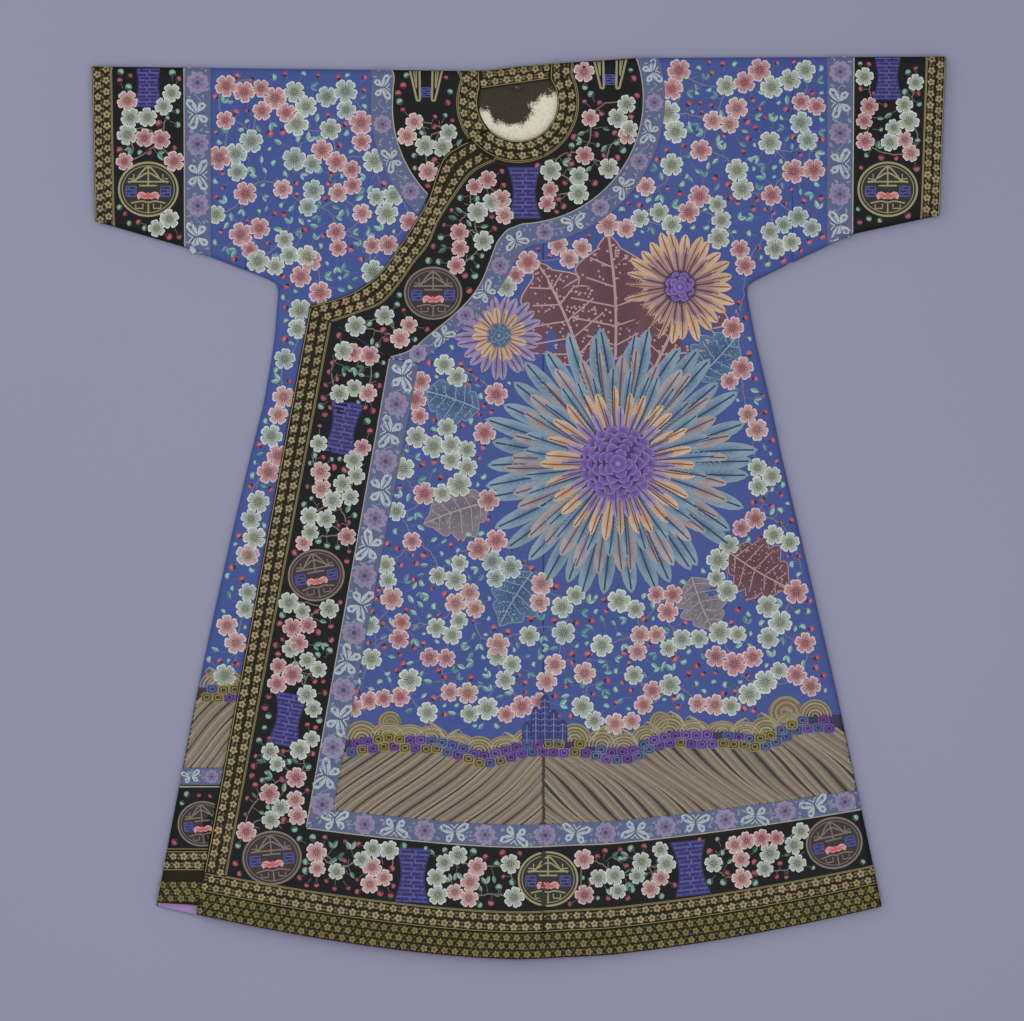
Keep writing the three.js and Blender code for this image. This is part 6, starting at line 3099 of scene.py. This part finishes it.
    def holes(self) -> list[Array]:
        """The room that the flowers and leaves take.

        Returns:
            Closed outlines.
        """
        found = [ellipse(one.room, one.room, one.corners, centre=one.at) for one in self.flowers]
        for x, y, angle, length, _ in self.leaves:
            along = np.array([-math.sin(angle), math.cos(angle)])
            middle = np.array([x, y]) + along * length / 2
            found.append(ellipse(0.3 * length, 0.46 * length, 20) @ spun(angle) + middle)
        return found

    def build(self) -> None:
        """Sews the leaves, then the flowers."""
        leaves = Needlework("bouquet_leaves", self.surface, FLOSS, 31)
        for x, y, angle, length, dyes in self.leaves:
            leaves.sew(self.lobed_leaf(leaves.rng), dyes, x, y, angle, length, 0.1)
        leaves.build()
        work = Needlework("bouquet_flowers", self.surface, FLOSS, 32)
        for flower in self.flowers:
            for wheel in flower.wheels:
                self.wheel(work, flower.at, *wheel)
            self.heart(work, flower.at, *flower.heart)
        work.build()


@dataclass
class BlueGround:
    """The blossoms on the blue satin of both fronts, the sleeves and the back."""

    robe: "Robe"
    bands: dict[str, Band]
    waves: WaveFoot
    bouquet: Bouquet
    foot: float = -262.0
    cuff_edge: float = 640.0

    def build(self) -> None:
        """Sews the outer front with its sleeve, the inner front with the other, and the back."""
        cut = self.robe.cut
        ends = float(self.waves.left(np.array(-360.0))), float(self.waves.right(np.array(-245.0)))
        x = np.linspace(*ends, 60)
        crest = pairs(x, self.waves.high(x) + 46)
        spirals = [ellipse(size + 12, size + 12, 20, centre=(x, y)) for x, y, size in self.waves.spots()]
        self.build_front("outer", Side.LEFT, [crest], self.robe.outer, 101, self.bouquet.holes() + spirals)
        overlap = smooth_line(cut.overlap, 60)
        foot = [(float(cut.overlap_x(self.foot)), self.foot),
                (float(cut.body_edge(Side.RIGHT, np.array(self.foot))), self.foot)]
        seen = overlap[overlap[:, 1] < 500]
        self.build_front("inner", Side.RIGHT, [seen, foot], self.robe.inner, 102)
        self.build_back()

    def build_front(self, name: str, side: Side, lines: Sequence[Array | Points], layer: Layer, seed: int,
                    holes: Sequence[Array] = ()) -> None:
        """Sews one front and its sleeve.

        Args:
            name: the front's word in the piece's name.
            side: which sleeve.
            lines: the outline from the yoke to the side seam.
            layer: the cloth below.
            seed: settles what varies.
            holes: outlines that hold other work.
        """
        cut = self.robe.cut
        seam = cut.side_line(side)
        body = seam[(seam[:, 1] > lines[-1][-1][1]) & (np.abs(seam[:, 0]) < self.cuff_edge)]
        cuff = cut.sleeve_line(side, cut.cuff_bands[2])
        outline = chain(self.bands[f"yoke_ribbon_{side.word}"].far, *lines, body, cuff)
        ground = Ground(outline, [np.array(cut.shoulder, float), seam], holes)
        BlossomField(f"blossoms_{name}", ground, layer.top, ON_BLUE, seed).build()

    def build_back(self) -> None:
        """Sews the whole back, on its underside as it lies."""
        cut = self.robe.cut
        rims = [np.array(cut.shoulder, float), cut.side_line(Side.LEFT), cut.side_line(Side.RIGHT)]
        ground = Ground(chain(*self.cut_of_back), rims)
        BlossomField("blossoms_back", ground, self.robe.back.bottom, ON_BLUE, 103, Slot.BLUE, True,
                     52).build()

    @property
    def cut_of_back(self) -> Sequence[Array]:
        """The back's outline between its bands, anticlockwise from the hem.

        Returns:
            The outline's stretches.
        """
        cut = self.robe.cut
        back = {band.name: band for band in self.robe.back_bands()}
        sides = {side: cut.side_line(side) for side in Side}
        foot = back["back_hem_ribbon"].far[::-1]
        left, right = (sides[side][sides[side][:, 1] > -400] for side in (Side.LEFT, Side.RIGHT))
        left, right = (line[np.abs(line[:, 0]) < self.cuff_edge] for line in (left, right))
        cuffs = [cut.sleeve_line(side, cut.cuff_bands[2]) for side in (Side.LEFT, Side.RIGHT)]
        yoke = back["back_yoke_ribbon"].far
        return foot, left, cuffs[0], yoke, cuffs[1][::-1], right[::-1]


# ---- Fur ------------------------------------------------------------------------------------------
@dataclass
class NeckFur:
    """The fur lining that shows in the neck opening."""

    cut: Cut
    hairs: int = 19000
    depth: float = 2.6
    hair_length: float = 9.0
    hair_width: float = 0.45
    cream: Colour = srgb(226, 219, 199)
    brown: Colour = srgb(64, 55, 47)
    brown_edge: Points = (
        (-66, 645), (62, 662), (58, 634), (27, 626), (16, 616.5), (19, 602), (7, 589.5), (-19, 586),
        (-37, 592), (-44, 607), (-64, 610),
    )

    def pile(self, x: Array, y: Array) -> Array:
        """Height of the pile.

        Args:
            x, y: the points.

        Returns:
            Heights in millimetres.
        """
        (nx, ny), (rx, ry) = self.cut.neck, self.cut.neck_size
        away = np.hypot((x - nx) / rx, (y - ny + 8) / ry)
        return self.cut.lower + self.depth * np.maximum(0.35, 1 - 0.5 * away * away)

    def patch(self, x: Array, y: Array) -> Array:
        """Share of brown at each place, from the lie of the skins.

        Args:
            x, y: the points.

        Returns:
            Shares from 0 to 1.
        """
        edge = np.array(self.brown_edge, float)
        away = reach_to(closed(edge), x, y)
        depth = np.where(within(edge, x, y), away, -away)
        return smoothstep(depth + 1.6 * np.sin(x * 0.33) + 1.3 * np.sin(y * 0.41 + x * 0.2), -3.2, 3.2)

    def build(self) -> None:
        """The skin and its hairs."""
        self.build_pile(self.build_skin())

    def build_skin(self) -> Array:
        """Makes the skin.

        Returns:
            Its outline.
        """
        cut = self.cut
        (nx, ny), (rx, ry) = cut.neck, cut.neck_size
        rim = 1.0
        part = np.sin(np.linspace(-0.49, 0.49, 60) * math.pi)
        columns = nx + part * (rx - rim)
        bow = (ry - rim) * np.sqrt(1 - part * part)
        low = pairs(columns, ny - bow)
        (ax, ay), (bx, by) = cut.neckline
        chord = ay + (by - ay) * (columns - ax) / (bx - ax) - rim
        high = pairs(columns, np.minimum(chord, ny + bow))
        grid = low[None] + (high - low)[None] * np.linspace(0, 1, 30)[:, None, None]
        x, y = grid[..., 0], grid[..., 1]
        skin = shell("neck_fur_skin", grid, self.pile(x, y) - 0.4, np.full(x.shape, cut.lower), [FUR_SKIN])
        sewn(skin, Slot.FUR, "neck_fur")
        declare_sheet(grid)
        return chain(low, high[::-1])

    def build_pile(self, outline: Array) -> None:
        """Grows the hairs.

        Args:
            outline: of the skin.
        """
        rng = np.random.default_rng(21)
        root = rng.uniform((-62, 556), (60, 652), (self.hairs, 2))
        root = root[within(outline, *root.T)]
        count = len(root)
        centre = np.array([-4.0, 640.0])
        away = root - centre
        lie = np.arctan2(away[:, 1], away[:, 0]) + rng.normal(0, 0.45, count)
        length = self.hair_length * rng.uniform(0.6, 1.15, count)
        brown = self.patch(*root.T)
        mixed = np.where(rng.random(count) < brown, 1.0, 0.0)
        tone = rng.normal(1, 0.09, count)[:, None]
        dye = (np.array(self.cream) * (1 - mixed[:, None]) + np.array(self.brown) * mixed[:, None]) * tone
        steps = np.array([0, 0.35, 0.7, 1.0])
        rise = np.array([0.0, 1.0, 1.5, 1.35])
        widths = np.array([1.0, 0.9, 0.6, 0.08]) * self.hair_width
        bend = rng.normal(0, 0.35, count)
        points, dyes, strands = [], [], []
        for step, up, width in zip(steps, rise, widths):
            turn = lie + bend * step
            middle = root + pairs(np.cos(turn), np.sin(turn)) * (length * step)[:, None]
            aside = pairs(-np.sin(turn), np.cos(turn)) * width
            height = self.pile(*middle.T) - 0.3 + up * (0.7 + 0.6 * (tone[:, 0] - 0.8))
            for sign in (-1, 1):
                points.append(np.column_stack([middle + sign * aside, height]))
                # Painted shade: each hair's colour runs from 0.7 of its dye at the root, deep in the pile,
                # to 1.05 at the tip.
                dyes.append(dye * (0.7 + 0.35 * step))
                across = np.full(count, sign * width)
                strands.append(np.column_stack([across, length * step, tone[:, 0] * 9]))
        own = np.arange(count)
        faces = []
        for level in range(len(steps) - 1):
            a, b = 2 * level * count + own, (2 * level + 1) * count + own
            c, d = (2 * level + 3) * count + own, (2 * level + 2) * count + own
            faces += [np.stack([a, b, c], axis=1), np.stack([a, c, d], axis=1)]
        obj = new_object("neck_fur_pile", np.concatenate(points), np.concatenate(faces), [HAIR])
        dyed(obj, dyes, np.concatenate(strands))
        sewn(obj, Slot.FUR)


# ---- Setting --------------------------------------------------------------------------------------
@dataclass(frozen=True)
class Studio:
    """The board, the lights and the camera."""

    centre: tuple[float, float] = (-10.6, -3.0)
    frame_width: float = 1556.5
    height: float = 5200.0
    sensor: float = 36.0
    board: float = 4e4

    def build(self) -> None:
        """Lays out the setting."""
        far = self.board
        corners = np.array([[-far, -far, 0], [far, -far, 0], [far, far, 0], [-far, far, 0]])
        board = new_object("board", corners, np.array([[0, 1, 2, 3]]), [BOARD], smooth=False)
        camera = bpy.data.cameras.new("camera")
        camera.sensor_width = self.sensor
        camera.lens = self.sensor * self.height / self.frame_width
        camera.clip_end = 100
        eye = bpy.data.objects.new("camera", camera)
        eye.location = (self.centre[0] * MM, self.centre[1] * MM, self.height * MM)
        bpy.context.collection.objects.link(eye)
        bpy.context.scene.camera = eye
        for name, place, size, power in (
            ("overhead", (0.2, -0.25, 3.2), 3.6, 62.0),
            ("side", (-2.6, 1.8, 2.2), 1.8, 26.0),
        ):
            lamp = bpy.data.lights.new(name, "AREA")
            lamp.size = size
            lamp.energy = power
            holder = bpy.data.objects.new(name, lamp)
            holder.location = place
            holder.rotation_euler = self.aim(place)
            bpy.context.collection.objects.link(holder)
        world = bpy.data.worlds.new("room")
        world.use_nodes = True
        world.node_tree.nodes["Background"].inputs[0].default_value = (1, 1, 1, 1)
        world.node_tree.nodes["Background"].inputs[1].default_value = 0.45
        bpy.context.scene.world = world
        bpy.context.scene.view_settings.view_transform = "Standard"

    @staticmethod
    def aim(place: tuple[float, float, float]) -> tuple[float, float, float]:
        """Turn of a lamp that faces the origin."""
        x, y, z = place
        return (math.atan2(math.hypot(x, y), z), 0.0, math.atan2(x, -y) if (x or y) else 0.0)


def main() -> None:
    """Builds the robe in the order in which it lies."""
    logging.basicConfig(level=logging.INFO, format="%(message)s")
    cut = Cut()
    Studio().build()
    robe = Robe(cut)
    for panel in robe.panels():
        panel.build(["back_left"] if panel.name.startswith("front") else [])
    robe.build_sleeves()
    robe.build_overlap()
    robe.build_facing()
    robe.build_neck_back()
    bands = {band.name: band for band in robe.bands()}
    for band in bands.values():
        band.build()
    back = {band.name: band for band in robe.back_bands()}
    for band in back.values():
        band.build()
    for band in (*bands.values(), robe.neck_back, *back.values()):
        if band.slot is Slot.GOLD:
            BrocadeRows(band, (0.28, 0.72), GILT_HEAD).build()
        elif band.slot is Slot.OLIVE:
            BrocadeRows(band, (0.18, 0.5, 0.82), OLIVE_HEAD, 15.5, 6.0, ()).build()
        elif band.slot is Slot.RIBBON:
            RibbonFigures(band).build()
    Piping(robe, bands).build()
    BorderOrnament({**bands, **back}).build(robe)
    waves = WaveFoot(robe)
    waves.build()
    bouquet = Bouquet(robe.outer.top)
    bouquet.build()
    BlueGround(robe, bands, waves, bouquet).build()
    NeckFur(cut).build()


if __name__ == "__main__":
    main()
